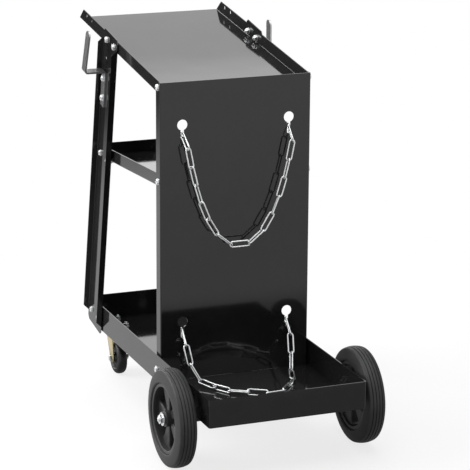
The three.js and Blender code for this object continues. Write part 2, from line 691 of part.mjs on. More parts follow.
function casterBolt() {
  const cheek = FORK_INSIDE + FORK_PLATE + SEAT;
  const shank = cylinderX(CASTER_BOLT, -cheek - BOLT_NUT - BOLT_TAIL, cheek + BOLT_HEAD / 2, 12);
  const head = hexagonX(BOLT_FLATS, cheek, cheek + BOLT_HEAD);
  const nut = hexagonX(BOLT_FLATS, -cheek - BOLT_NUT, -cheek);
  return geometryOf(join(shank, head, nut));
}

// Solid wheel with a dished web on both faces
function casterWheel() {
  const face = [
    [CASTER_BOLT + RUNNING_GAP, CASTER_HALF + CASTER_HUB_RISE],
    [CASTER_HUB, CASTER_HALF + CASTER_HUB_RISE],
    [CASTER_HUB + CASTER_DISH_SLOPE, CASTER_HALF - CASTER_DISH],
    [CASTER_RADIUS - CASTER_BAND - CASTER_DISH_SLOPE, CASTER_HALF - CASTER_DISH],
    [CASTER_RADIUS - CASTER_BAND, CASTER_HALF],
    [CASTER_RADIUS - CASTER_DISH, CASTER_HALF],
    [CASTER_RADIUS, CASTER_HALF - CASTER_DISH],
  ];
  const back = face.map(([radius, station]) => [radius, -station]).reverse();
  return geometryOf(turnedX([...face, ...back], CASTER_SIDES));
}

// One link in its own frame: X across, Y along, Z square to the plane of the loop
function chainLink() {
  const rings = 12;
  const swell = 1 / Math.cos(Math.PI / rings);
  const link = new THREE.TorusGeometry(LINK_BEND * swell, WIRE, 6, rings).rotateZ(Math.PI / rings);
  const position = link.getAttribute("position");
  for (let i = 0; i < position.count; i++) {
    const y = position.getY(i);
    position.setY(i, y + (Math.sign(y) * LINK_STRAIGHT) / 2);
  }
  return link;
}

// Places a link between two points, with its plane turned by roll from square to a reference
function placeLink(mesh, middle, along, reference, roll) {
  const normal = reference.clone().addScaledVector(along, -reference.dot(along)).normalize();
  normal.applyAxisAngle(along, roll);
  const basis = new THREE.Matrix4().makeBasis(along.clone().cross(normal), along, normal);
  mesh.quaternion.setFromRotationMatrix(basis);
  mesh.position.copy(middle);
}

// Steps along a sampled path with rods of the given lengths; stops early where the path ends
function walk(path, rods) {
  const joints = [path[0].clone()];
  let index = 1;
  for (const rod of rods) {
    const from = joints[joints.length - 1];
    while (index < path.length && path[index].distanceTo(from) < rod) {
      index++;
    }
    if (index === path.length) {
      break;
    }
    const near = path[index - 1];
    const step = path[index].clone().sub(near);
    const offset = near.clone().sub(from);
    const a = step.lengthSq();
    const b = offset.dot(step);
    const c = offset.lengthSq() - rod * rod;
    joints.push(near.clone().addScaledVector(step, (Math.sqrt(b * b - a * c) - b) / a));
  }
  return joints;
}

// Finds the size of a loop on which the last rod ends on the path's far end
function fitChain(links, pathOf, low, high) {
  const overhang = LINK_END - LINK_JOINT;
  const rods = new Array(links - 1).fill(LINK_PITCH);
  rods[0] += overhang;
  let joints;
  for (let i = 0; i < 60; i++) {
    const size = (low + high) / 2;
    const path = pathOf(size);
    const end = path[path.length - 1];
    joints = walk(path, rods);
    if (joints.length < links || joints[links - 1].distanceTo(end) < LINK_PITCH + overhang) {
      low = size;
    } else {
      high = size;
    }
    joints.push(end.clone());
  }
  return joints;
}

// Hanging loop between the slots, a catenary from the left anchor to the right one
function upperPath(depth) {
  const z = UPPER_KEYHOLE_Z - CHAIN_DROP;
  const samples = 400;
  const half = KEYHOLE_X - UPPER_PULL / 2;
  return Array.from({ length: samples + 1 }, (_, i) => {
    const share = 1 - (2 * i) / samples;
    const drop = (half / depth) * (Math.cosh(depth) - Math.cosh(depth * share));
    return new THREE.Vector3(half * share - UPPER_PULL / 2, CHAIN_OUT, z - drop);
  });
}

// Chain let down into the bay: it drops from each slot and lies in a bow on the tray's floor
function lowerPath(bow) {
  const z = LOWER_KEYHOLE_Z - CHAIN_DROP;
  const aboveFloor = ([x, y, height]) => [x, y, TRAY_FLOOR + height];
  const points = [
    [KEYHOLE_X, CHAIN_OUT, z],
    ...LOWER_DROP.map(aboveFloor),
    ...LOWER_BOW.map(([x, y]) => [x, CHAIN_OUT + bow * (y - CHAIN_OUT), LOWER_REST]),
    ...LOWER_RISE.map(aboveFloor),
    [-KEYHOLE_X, CHAIN_OUT, z],
  ];
  const curve = new THREE.CatmullRomCurve3(points.map((point) => new THREE.Vector3(...point)));
  return curve.getSpacedPoints(500).map((point) => point.setZ(Math.max(point.z, LOWER_REST)));
}

// Free links on their joints, alternately flat and on edge, each with its own twist; the direction
// that the rolls are counted from is carried along the chain without turning about it
function hangChain(name, joints, twist) {
  const reference = Y_AXIS.clone();
  let before = Z_AXIS.clone().negate();
  twist.forEach((degrees, i) => {
    const along = joints[i + 1].clone().sub(joints[i]).normalize();
    const middle = joints[i].clone().addScaledVector(along, i === 0 ? LINK_END : LINK_JOINT);
    reference.applyQuaternion(new THREE.Quaternion().setFromUnitVectors(before, along));
    before = along;
    const roll = THREE.MathUtils.degToRad((i % 2 ? 90 : 0) + degrees);
    const number = String(i + 1).padStart(2, "0");
    const mesh = addPart(frame, `${name}_link_${number}`, chainLink(), ZINC);
    placeLink(mesh, middle, along, reference, roll);
  });
}

// Link through each slot, held by a cross link that hangs behind the panel
function anchorChain(name, keyholeZ, leftPull) {
  const down = Z_AXIS.clone().negate();
  for (const side of SIDES) {
    const pull = side.sign > 0 ? leftPull : 0;
    const roll = pull ? -ANCHOR_ROLL : ANCHOR_ROLL;
    const heldZ = keyholeZ - ANCHOR_DROP + LINK_REACH * Math.sin(ANCHOR_TILT);
    const held = new THREE.Vector3(side.sign * KEYHOLE_X, STOP_Y, heldZ);
    const swing = new THREE.Vector3(side.sign * KEYHOLE_X - pull, CHAIN_OUT, keyholeZ - CHAIN_DROP);
    const along = swing.clone().sub(held).normalize();
    const anchor = addPart(frame, `${name}_anchor_${side.name}`, chainLink(), ZINC);
    placeLink(anchor, held.clone().lerp(swing, 0.5), along, X_AXIS, roll);
    const stop = addPart(frame, `${name}_stop_${side.name}`, chainLink(), ZINC);
    placeLink(stop, held.addScaledVector(down, LINK_END), down, Y_AXIS, 0);
  }
}

addPart(frame, "bottom_tray", bottomTray(), PAINT);
addPart(frame, "rear_panel", rearPanel(), PAINT);
addPart(frame, "middle_shelf", middleShelf(), PAINT);
addPart(frame, "top_shelf", topShelf(), PAINT);

// The legs lie outside the tray below and outside the top shelf above, so they close in a little
const trayTop = TRAY_BOTTOM + TRAY_WALL;
const legNear = TRAY_HALF + SEAT;
const legClose = Math.atan((legNear - SHELF_HALF - SEAT) / (LEG_TOP_Z - trayTop));
for (const side of SIDES) {
  const leg = new THREE.Group();
  leg.position.set(legNear + (trayTop - LEG_FOOT_Z) * Math.tan(legClose), LEG_FOOT_Y, LEG_FOOT_Z);
  leg.rotation.set(-LEG_LEAN, -legClose, 0, "YXZ");
  sideGroup(frame, side.sign).add(leg);
  addPart(leg, `front_leg_${side.name}`, frontLeg(), PAINT);
  addPart(leg, `cable_hook_${side.name}`, cableHook(), STEEL);
}

const axle = addPart(frame, "axle", axleBar(), ZINC);
axle.position.set(0, WHEEL_Y, WHEEL_RADIUS);
for (const side of SIDES) {
  const wheel = new THREE.Group();
  wheel.position.set(WHEEL_X, WHEEL_Y, WHEEL_RADIUS);
  const group = sideGroup(frame, side.sign);
  group.add(wheel);
  addPart(wheel, `rear_tyre_${side.name}`, rearTyre(), RUBBER);
  addPart(wheel, `rear_rim_${side.name}`, rearRim(), PLASTIC);
  addPart(wheel, `axle_nut_${side.name}`, axleNut(), ZINC);
  const clamp = addPart(group, `axle_clamp_${side.name}`, axleClamp(), PAINT);
  clamp.position.set(CLAMP_X, WHEEL_Y, WHEEL_RADIUS);
}

for (const side of SIDES) {
  const caster = new THREE.Group();
  caster.position.set(CASTER_X, CASTER_Y, 0);
  sideGroup(frame, side.sign).add(caster);
  addPart(caster, `caster_plate_${side.name}`, casterPlate(), YELLOW_ZINC);
  addPart(caster, `caster_fork_${side.name}`, casterFork(), YELLOW_ZINC);
  for (const [name, geometry, finish] of [
    ["caster_bolt", casterBolt(), ZINC],
    ["caster_wheel", casterWheel(), PLASTIC],
  ]) {
    const piece = addPart(caster, `${name}_${side.name}`, geometry, finish);
    piece.position.set(0, CASTER_TRAIL, CASTER_RADIUS);
  }
}

hangChain("upper_chain", fitChain(UPPER_LINKS, upperPath, 1, 4), UPPER_TWIST);
anchorChain("upper_chain", UPPER_KEYHOLE_Z, UPPER_PULL);
hangChain("lower_chain", fitChain(LOWER_LINKS, lowerPath, 0.5, 1.6), LOWER_TWIST);
anchorChain("lower_chain", LOWER_KEYHOLE_Z, 0);

export default cart;
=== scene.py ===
"""Looks of the welding cart: finishes, rear wheels, casters, chains, fasteners and the stage."""

import json
import math

import bmesh
import bpy
import numpy as np
from mathutils import Matrix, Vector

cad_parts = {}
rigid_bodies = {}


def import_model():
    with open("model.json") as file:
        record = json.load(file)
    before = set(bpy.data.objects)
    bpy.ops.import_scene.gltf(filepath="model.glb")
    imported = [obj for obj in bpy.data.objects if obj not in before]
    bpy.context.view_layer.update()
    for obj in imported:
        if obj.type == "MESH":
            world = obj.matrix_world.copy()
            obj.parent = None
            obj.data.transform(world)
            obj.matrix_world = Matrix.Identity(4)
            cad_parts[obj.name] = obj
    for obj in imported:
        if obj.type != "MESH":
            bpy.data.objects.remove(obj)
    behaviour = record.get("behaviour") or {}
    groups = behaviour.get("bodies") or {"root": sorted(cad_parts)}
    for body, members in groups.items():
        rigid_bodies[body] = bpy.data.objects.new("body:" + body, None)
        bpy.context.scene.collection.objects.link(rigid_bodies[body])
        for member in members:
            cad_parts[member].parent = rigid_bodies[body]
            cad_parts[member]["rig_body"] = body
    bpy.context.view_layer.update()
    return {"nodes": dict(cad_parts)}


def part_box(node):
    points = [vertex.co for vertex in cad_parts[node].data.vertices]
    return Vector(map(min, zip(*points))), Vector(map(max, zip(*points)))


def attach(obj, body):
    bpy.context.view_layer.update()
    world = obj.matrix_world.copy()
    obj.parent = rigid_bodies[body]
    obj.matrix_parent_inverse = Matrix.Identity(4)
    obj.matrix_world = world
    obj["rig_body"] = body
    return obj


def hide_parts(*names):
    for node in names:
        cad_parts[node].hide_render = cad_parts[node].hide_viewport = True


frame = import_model()

bl_info = {
    "name": "Welding cart",
    "version": (1, 0, 0),
    "blender": (4, 5, 0),
    "location": "View3D > Sidebar > Cart",
    "description": "Finishes and small pieces of a welding cart",
    "category": "Object",
}

MM = 0.001
CIRCLE = 2 * math.pi
SIDES = (("left", 1.0), ("right", -1.0))
NODES = frame["nodes"]
SHIFT = 102.281 * MM  # from the panel's rear face to the middle of the box

# Starts of the names of nodes that keep their shape, by slot
DRESSED = {
    "tray_paint": (
        "bottom_tray", "rear_panel", "middle_shelf", "top_shelf", "front_leg", "axle_clamp",
    ),
    "hook_steel": ("cable_hook",),
    "yellow_zinc": ("caster_plate",),
    "zinc": ("caster_bolt",),
}


# Shader maths


class Wire:
    """A node's output that can stand in a sum: each operator adds a Math node."""

    def __init__(self, finish, socket):
        self.finish = finish
        self.socket = socket

    def of(self, name):
        """Another output of the same node."""
        return Wire(self.finish, self.socket.node.outputs[name])

    def _math(self, operation, first, second):
        return self.finish.node("ShaderNodeMath", {"operation": operation}, {0: first, 1: second})

    def __add__(self, other):
        return self._math("ADD", self, other)

    def __radd__(self, other):
        return self._math("ADD", other, self)

    def __sub__(self, other):
        return self._math("SUBTRACT", self, other)

    def __rsub__(self, other):
        return self._math("SUBTRACT", other, self)

    def __mul__(self, other):
        return self._math("MULTIPLY", self, other)

    def __rmul__(self, other):
        return self._math("MULTIPLY", other, self)

    def above(self, other):
        """1 where this value is the greater, else 0."""
        return self._math("GREATER_THAN", self, other)

    def most(self, other):
        """The greater of two values."""
        return self._math("MAXIMUM", self, other)


class Finish:
    """A node tree, with one method that adds any node."""

    def __init__(self, owner):
        owner.use_nodes = True
        self.owner = owner
        self.tree = owner.node_tree
        self.tree.nodes.clear()

    def node(self, kind, settings=None, inputs=None):
        """Adds a node with settings, values and wires, and gives its first output."""
        made = self.tree.nodes.new(kind)
        for name, value in (settings or {}).items():
            if name == "stops":
                self._stops(made.color_ramp, value)
            else:
                setattr(made, name, value)
        for name, value in (inputs or {}).items():
            if isinstance(value, Wire):
                self.tree.links.new(value.socket, made.inputs[name])
            else:
                made.inputs[name].default_value = value
        return Wire(self, made.outputs[0]) if made.outputs else made

    @staticmethod
    def _stops(ramp, stops):
        while len(ramp.elements) < len(stops):
            ramp.elements.new(1.0)
        for element, (place, colour) in zip(ramp.elements, stops):
            element.position = place
            element.color = colour

    def place(self):
        """Where a point lies on its object, in metres."""
        return self.node("ShaderNodeTexCoord").of("Object")

    def cloud(self, scale, detail, rough):
        """Noise from 0 to 1 whose lumps are 1/scale metres across."""
        inputs = {"Vector": self.place(), "Scale": scale, "Detail": detail, "Roughness": rough}
        return self.node("ShaderNodeTexNoise", {"noise_dimensions": "3D"}, inputs)

    def fade(self, value, reach, levels):
        """Smooth passage from one level to another as a value crosses a reach."""
        names = ("From Min", "From Max", "To Min", "To Max")
        inputs = {"Value": value, **dict(zip(names, (*reach, *levels)))}
        return self.node("ShaderNodeMapRange", {"interpolation_type": "SMOOTHSTEP"}, inputs)

    def grey(self, level):
        """The grey of a level."""
        inputs = {part: level for part in ("Red", "Green", "Blue")}
        return self.node("ShaderNodeCombineColor", None, inputs)

    def ramp(self, factor, stops):
        """Colour between stops, each a place and a colour."""
        return self.node("ShaderNodeValToRGB", {"stops": stops}, {"Fac": factor})

    def bump(self, height, depth):
        """Normal of a relief whose height from 0 to 1 stands for a depth."""
        return self.node("ShaderNodeBump", None, {"Height": height, "Distance": depth})

    def surface(self, shader):
        """Ends the tree of a material."""
        self.node("ShaderNodeOutputMaterial", None, {"Surface": shader})
        return self.owner

    def principled(self, **inputs):
        """Ends the tree of a material in one Principled shader."""
        named = {name.replace("_", " "): value for name, value in inputs.items()}
        return self.surface(self.node("ShaderNodeBsdfPrincipled", None, named))


CLOUD_REACH = (0.3, 0.7)  # between which most of a noise's values lie


def spread(colour, share):
    """Two stops of a ramp, a little darker and a little lighter than a colour."""
    stops = zip(CLOUD_REACH, (1 - share, 1 + share))
    return [(place, (*(part * level for part in colour), 1.0)) for place, level in stops]


def about(middle, swing, value):
    """A value from 0 to 1 made to swing about a middle."""
    return value * swing + (middle - swing / 2)


def gloss_paint(name, colour, roughness):
    """Powder coat: fine orange peel, slow waves of the sheet and faint smears in the gloss."""
    coat = Finish(bpy.data.materials.new(name))
    peel = coat.cloud(scale=260.0, detail=3.0, rough=0.6)
    waves = coat.cloud(scale=11.0, detail=1.0, rough=0.4)
    smear = coat.cloud(scale=18.0, detail=5.0, rough=0.65)
    peel_share = 0.03  # of the waves' height
    return coat.principled(
        Base_Color=coat.ramp(smear, spread(colour, share=0.18)),
        Roughness=about(roughness, swing=0.04, value=smear),
        Normal=coat.bump(peel * peel_share + waves, depth=0.15 * MM),
        IOR=1.5,
    )


def rubber(name, colour, roughness):
    """Moulded rubber: a dusty bloom over fine grain."""
    skin = Finish(bpy.data.materials.new(name))
    bloom = skin.cloud(scale=45.0, detail=5.0, rough=0.7)
    grain = skin.cloud(scale=1400.0, detail=2.0, rough=0.6)
    return skin.principled(
        Base_Color=skin.ramp(bloom, spread(colour, share=0.25)),
        Roughness=about(roughness, swing=0.16, value=bloom),
        Normal=skin.bump(grain, depth=0.03 * MM),
    )


def moulded(name, colour, roughness):
    """Moulded plastic: a fine spark-eroded grain with slightly polished patches."""
    skin = Finish(bpy.data.materials.new(name))
    patch = skin.cloud(scale=60.0, detail=4.0, rough=0.6)
    grain = skin.cloud(scale=2200.0, detail=1.0, rough=0.5)
    return skin.principled(
        Base_Color=skin.ramp(patch, spread(colour, share=0.15)),
        Roughness=about(roughness, swing=0.14, value=patch),
        Normal=skin.bump(grain, depth=0.02 * MM),
    )


def plated(name, colour, roughness):
    """Plating: cloudy patches, and fine crystals that change the gloss."""
    metal = Finish(bpy.data.materials.new(name))
    crystal = metal.cloud(scale=420.0, detail=3.0, rough=0.6)
    patch = metal.cloud(scale=90.0, detail=3.0, rough=0.5)
    return metal.principled(
        Base_Color=metal.ramp(patch, spread(colour, share=0.06)),
        Metallic=1.0,
        Roughness=about(roughness, swing=0.1, value=crystal),
        Normal=metal.bump(crystal, depth=0.01 * MM),
    )


def passivated(name, colour, roughness):
    """Yellow passivated zinc: straw that drifts towards pink and green."""
    metal = Finish(bpy.data.materials.new(name))
    drift = metal.cloud(scale=75.0, detail=3.0, rough=0.6)
    crystal = metal.cloud(scale=500.0, detail=2.0, rough=0.5)
    greener, plain, pinker = (0.92, 1.04, 0.9), (1.0, 1.0, 1.0), (1.06, 0.93, 1.18)
    stops = [
        (place, (*(part * share for part, share in zip(colour, tint)), 1.0))
        for place, tint in ((0.28, greener), (0.5, plain), (0.72, pinker))
    ]
    return metal.principled(
        Base_Color=metal.ramp(drift, stops),
        Metallic=1.0,
        Roughness=about(roughness, swing=0.16, value=crystal),
        Normal=metal.bump(crystal, depth=0.015 * MM),
    )


# Makers of the slots' finishes, with the properties that they follow
MAKERS = {
    "tray_paint": (gloss_paint, "paint"),
    "hook_steel": (plated, "hook"),
    "tyre_rubber": (rubber, "rubber"),
    "rim_plastic": (moulded, "rim"),
    "caster_plastic": (moulded, "caster"),
    "zinc": (plated, "zinc"),
    "yellow_zinc": (passivated, "yellow"),
}


def finish_of(slot):
    """The material of one of the record's slots, made when it is first asked for."""
    name = f"{slot}_finish"
    made = bpy.data.materials.get(name)
    if made is not None:
        return made
    maker, look = MAKERS[slot]
    looks = bpy.context.scene.cart_finishes
    return maker(name, tuple(getattr(looks, look)), getattr(looks, f"{look}_roughness"))


# Surfaces

MERGE = 1e-6  # distance within which points become one
SLIVER = 1e-7  # length of edges that are taken out
SHARP = 38.0  # degrees between two faces past which their edge shows
TYRE_SHARP = 50.0
SIDE_SHARE = 0.48  # most of a line's side that one rounded corner takes up


def quads(rows, columns, close_rows, close_columns):
    """Corner numbers of the faces of a grid of points, joined end to end where it closes."""
    row = np.arange(rows if close_rows else rows - 1)[:, None]
    column = np.arange(columns if close_columns else columns - 1)[None, :]
    here, ahead = row * columns, (row + 1) % rows * columns
    across = (column + 1) % columns
    corners = [here + column, here + across, ahead + across, ahead + column]
    return np.stack(np.broadcast_arrays(*corners), axis=-1).reshape(-1, 4)


def add_object(name, data):
    """A new object in the scene."""
    made = bpy.data.objects.new(name, data)
    bpy.context.scene.collection.objects.link(made)
    return made


def add_piece(name, sheets, slot, replaced=None, sharp=SHARP):
    """Joins grids of points into one mesh, which rides on the body of the node that it replaces, or
    else on the frame. Each sheet is (points, close_rows, close_columns). Points that meet are
    merged, so poles and seams close."""
    body = NODES[replaced]["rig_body"] if replaced else "frame"
    points, faces, start = [], [], 0
    for grid, close_rows, close_columns in sheets:
        rows, columns = grid.shape[:2]
        points.append(grid.reshape(-1, 3))
        faces.append(quads(rows, columns, close_rows, close_columns) + start)
        start += rows * columns
    mesh = bpy.data.meshes.new(name)
    mesh.from_pydata(np.concatenate(points).tolist(), [], np.concatenate(faces).tolist())
    shape = bmesh.new()
    shape.from_mesh(mesh)
    bmesh.ops.remove_doubles(shape, verts=shape.verts, dist=MERGE)
    bmesh.ops.dissolve_degenerate(shape, edges=shape.edges, dist=SLIVER)
    bmesh.ops.recalc_face_normals(shape, faces=shape.faces)
    shape.to_mesh(mesh)
    shape.free()
    mesh.polygons.foreach_set("use_smooth", np.ones(len(mesh.polygons), dtype=bool))
    mesh.set_sharp_from_angle(angle=math.radians(sharp))
    piece = add_object(name, mesh)
    mesh.materials.append(finish_of(slot))
    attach(piece, body)
    if replaced:
        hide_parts(replaced)


def within(value):
    """Values held between 0 and 1."""
    return np.clip(value, 0.0, 1.0)


def parabola(t, first, corner, last):
    """Curve that leaves first towards a corner and comes to last from it, as t goes from 0 to 1."""
    return (1 - t) ** 2 * first + 2 * t * (1 - t) * corner + t**2 * last


def rounded(corners, radius, steps=5):
    """Line through corners, each rounded by the parabola that leaves and meets its two sides at up
    to the given distance from the corner."""
    corners = np.asarray(corners, float)
    middle = corners[1:-1]
    back, ahead = corners[:-2] - middle, corners[2:] - middle
    span = lambda side: np.linalg.norm(side, axis=1, keepdims=True)
    limit = lambda side: side * np.minimum(SIDE_SHARE, radius / span(side))
    first, last = (middle + limit(back))[:, None], (middle + limit(ahead))[:, None]
    t = np.linspace(0.0, 1.0, steps)[None, :, None]
    arcs = parabola(t, first, middle[:, None], last)
    return np.concatenate([corners[:1], arcs.reshape(-1, corners.shape[1]), corners[-1:]])


def round_angles(segments):
    """Angles of a full circle's segments."""
    return np.linspace(0.0, CIRCLE, segments, endpoint=False)


def spun(radius, station, centre, axes, segments):
    """Grid of points round the first axis through a centre: each is centre + station * first +
    radius * (cos * second + sin * third). Radius and station have a row for each row of points."""
    angle = round_angles(segments)[:, None]
    first, second, third = (np.asarray(axis, float) for axis in axes)
    ring = np.cos(angle) * second + np.sin(angle) * third
    return np.asarray(centre) + station[..., None] * first + radius[..., None] * ring


def turned(profile, centre, axes, segments):
    """Profile of (radius, station) pairs turned about the first axis through a centre."""
    radius, station = np.asarray(profile, float).T
    return spun(radius[:, None], station[:, None], centre, axes, segments)


def capped(grid):
    """A tube's grid with a point at the middle of each end, which closes it."""
    ends = [np.broadcast_to(row.mean(axis=0), row.shape)[None] for row in (grid[0], grid[-1])]
    return np.concatenate([ends[0], grid, ends[1]])


def superellipse(half_width, half_height, power, count):
    """Closed outline |x/a|**p + |y/b|**p = 1, a rectangle with round corners for a large power."""
    angle = round_angles(count)
    bend = lambda wave: np.sign(wave) * np.abs(wave) ** (2.0 / power)
    return half_width * bend(np.cos(angle)), half_height * bend(np.sin(angle))


def axes_x(sign):
    """Axes of a wheel: outwards, to the rear, up."""
    return (sign, 0.0, 0.0), (0.0, 1.0, 0.0), (0.0, 0.0, 1.0)


def node_points(name):
    """Vertices of a node as an array."""
    mesh = NODES[name].data
    flat = np.empty(len(mesh.vertices) * 3, np.float32)
    mesh.vertices.foreach_get("co", flat)
    return flat.reshape(-1, 3).astype(float)


def node_centre(name):
    """Middle of a node's box."""
    low, high = (np.array(corner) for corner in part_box(name))
    return (low + high) / 2


# Rear wheels

WALL_START = 0.5 * MM  # of the sidewall's inner edge above the tyre's bore
WALL_LIP = 0.6 * MM  # by which the bore's edge stands back from the sidewall
WALL_POWER = 1.6
GROOVES = np.array([0.5, 1.5])  # of one half of the tread, in pitches from its middle
GROOVE_HALF = 0.62 * MM
RIM_GAP = 0.3 * MM  # between rim and tyre
RING_POWER = 10.0
SPOKE_START = 0.6  # of a spoke, as a share of the boss's radius
SPOKE_SUNK = 1.5 * MM  # depth of a spoke's end in the ring
SPOKE_POWER = 7.0
FLARE = 0.22  # by which a spoke widens where it meets the ring
FLARE_FROM = 0.86  # share of the spoke's length at which that begins
TROUGH = 1.4 * MM
TROUGH_HALF = 0.62  # of the spoke's half width
TROUGH_RISE = 6.0  # how fast the trough deepens along the spoke, from both ends
TROUGH_ROOT, TROUGH_RIM = 0.6, 0.4  # how far that is put off at the boss and at the ring
HUB_BORE = 6.3 * MM
COLLAR_HEIGHT = 2.5 * MM
COLLAR_FOOT, COLLAR_TOP = 3.0 * MM, 3.6 * MM  # inwards from the boss's radius
HUB_ROUND = 1.2 * MM
TYRE_SEGMENTS, RING_SEGMENTS, HUB_SEGMENTS = 144, 120, 64


def tyre_profile(size):
    """Half section of a tyre and its mirror image. The sidewall is widest at its belly. Its half
    width falls by dish * (distance / reach)**2 towards the rim, and to that of the tread by
    (distance / reach)**WALL_POWER. A parabola rounds the edge. The tread's radius falls by crown *
    (distance / half width)**2 and dips by depth * exp(-(distance / width)**4) at each groove."""
    bore, outer, half, tread = size.tyre_bore, size.tyre_radius, size.tyre_half, size.tread_half
    belly, edge, ease = size.tyre_belly, outer - size.tread_crown, size.tyre_edge
    wall_r = np.linspace(bore + WALL_START, edge - ease, 40)
    to_rim = within((belly - wall_r) / (belly - bore))
    to_tread = within((wall_r - belly) / (edge - belly))
    wall_s = half - size.tyre_dish * to_rim**2 - (half - tread) * to_tread**WALL_POWER
    tread_s = np.linspace(tread - ease, 0.0, 60)
    off_groove = (tread_s[:, None] - GROOVES * size.groove_pitch) / GROOVE_HALF
    dip = np.exp(-(off_groove**4)).sum(axis=1)
    tread_r = outer - size.tread_crown * (tread_s / tread) ** 2 - size.groove_depth * dip
    t = np.linspace(0.0, 1.0, 10)[1:-1]
    edge_r = parabola(t, wall_r[-1], edge, tread_r[0])
    edge_s = parabola(t, wall_s[-1], tread, tread_s[0])
    radius = np.concatenate([[bore], wall_r, edge_r, tread_r])
    station = np.concatenate([[wall_s[0] - WALL_LIP], wall_s, edge_s, tread_s])
    near = np.stack([radius, station], axis=1)
    return np.concatenate([near, near[-2::-1] * (1.0, -1.0)])


def rim_ring(size, centre, sign):
    """Ring whose section is a tall rounded rectangle."""
    outer, inner = size.tyre_bore - RIM_GAP, size.rim_inner
    wide, tall = superellipse((outer - inner) / 2, size.rim_half, RING_POWER, count=48)
    section = np.stack([(outer + inner) / 2 + wide, tall], axis=1)
    return turned(section, centre, axes_x(sign), RING_SEGMENTS), True, True


def rim_spoke(size, centre, sign, angle):
    """Spoke carried out along the radius: its rounded section widens with the radius, bends round
    the wheel as width / radius, and has a shallow trough along its outer face."""
    ends = size.boss_radius * SPOKE_START, size.rim_inner + SPOKE_SUNK
    radius = np.linspace(*ends, 26)[:, None]
    share = (radius - radius[0]) / (radius[-1] - radius[0])
    width, depth = superellipse(1.0, 1.0, SPOKE_POWER, count=56)
    half = size.spoke_root + (size.spoke_rim - size.spoke_root) * share
    flare = 1.0 + FLARE * within((share - FLARE_FROM) / (1 - FLARE_FROM)) ** 2
    along = within(share * TROUGH_RISE - TROUGH_ROOT)
    along = along * within((1 - share) * TROUGH_RISE - TROUGH_RIM)
    trough = TROUGH * within(1 - (width / TROUGH_HALF) ** 2) * (depth > 0) * along
    station = size.spoke_face + size.spoke_depth / 2 * (depth - 1) - trough
    turn = angle + width * half * flare / radius
    rear, up = radius * np.sin(turn), radius * np.cos(turn)
    grid = np.stack([sign * station, rear, up], axis=-1) + centre
    return capped(grid), False, True


def hub(size, centre, sign):
    """Turned boss with a raised collar round the axle."""
    radius, inner, outer = size.boss_radius, size.boss_inner, size.boss_outer
    shoulder = outer - COLLAR_HEIGHT
    corners = [
        (HUB_BORE, inner), (radius, inner), (radius, shoulder), (radius - COLLAR_FOOT, shoulder),
        (radius - COLLAR_TOP, outer), (HUB_BORE, outer), (HUB_BORE, inner),
    ]
    return turned(rounded(corners, HUB_ROUND), centre, axes_x(sign), HUB_SEGMENTS), False, True


# Fasteners

# A nut's rows from bore to bore: rise in heights, cone that rounds the corners in half widths
NUT_RISE = np.array([0.0, 0.0, 0.06, 0.14, 0.5, 0.86, 0.94, 1.0, 1.0])
NUT_CONE = np.array([0.0, 0.97, 1.06, 1.2, 1.2, 1.2, 1.06, 0.97, 0.0])
NUT_SEGMENTS = 96
THREAD_DEPTH = 0.14  # half the depth of a thread, in pitches
THREAD_STEPS = 6  # rows to a pitch
THREAD_TIP = ((0.94, 0.6), (0.8, 0.0), (0.0, 0.0))  # shares of the radius, pitches before the end
WASHER_ROUND = 0.25  # of its thickness
HEAD_DOME = 2.6
HEAD_SEGMENTS = 64
# A cross recess: its arms' half width and length with their slopes in radii, its depth in heights
RECESS_HALF, RECESS_SIDE, RECESS_LENGTH, RECESS_END, RECESS_DEPTH = 0.17, 0.07, 0.6, 0.12, 0.55
# A head's skirt: shares of its radius and of its height
HEAD_SKIRT = np.array([(1.03, 0.48), (1.05, 0.3), (1.05, 0.08), (1.03, 0.0), (0.0, 0.0)])


def hexagon(flats, angle):
    """Distance from the middle of a hexagon to its edge at an angle."""
    return flats / 2 / np.cos((angle + math.pi / 6) % (math.pi / 3) - math.pi / 6)


def hex_nut(flats, height, bore, centre, axes):
    """Hexagon nut: the lesser of the hexagon and a cone that rounds its corners at both ends. Its
    first and last rows lie on the bore."""
    cone = flats / 2 * NUT_CONE
    cone[[0, -1]] = bore
    radius = np.minimum(hexagon(flats, round_angles(NUT_SEGMENTS)), cone[:, None])
    return spun(radius, NUT_RISE[:, None] * height, centre, axes, NUT_SEGMENTS), True, True


def thread(radius, end, pitch, centre, axes):
    """Threaded end: its radius falls and rises once a pitch, and it closes in a chamfered tip."""
    station = np.linspace(0.0, end - pitch, max(8, int(end / pitch * THREAD_STEPS)))
    wave = radius - THREAD_DEPTH * pitch * (1 + np.cos(CIRCLE * station / pitch))
    tip = [(radius * share, end - before * pitch) for share, before in THREAD_TIP]
    profile = np.concatenate([[(0.0, 0.0)], np.stack([wave, station], axis=1), tip])
    return turned(profile, centre, axes, segments=32), False, True


def washer(outer, bore, height, centre, axes):
    """Flat ring: a rectangle with rounded corners, turned."""
    corners = [(bore, 0.0), (outer, 0.0), (outer, height), (bore, height), (bore, 0.0)]
    edge = rounded(corners, WASHER_ROUND * height, steps=3)
    return turned(edge, centre, axes, segments=48), False, True


def nut_and_thread(flat, nut, bolt, seat, axes):
    """Washer, nut and threaded end on a seat, each given by its sizes."""
    over = seat + np.asarray(axes[0]) * flat[2]
    return [washer(*flat, seat, axes), hex_nut(*nut, over, axes), thread(*bolt, seat, axes)]


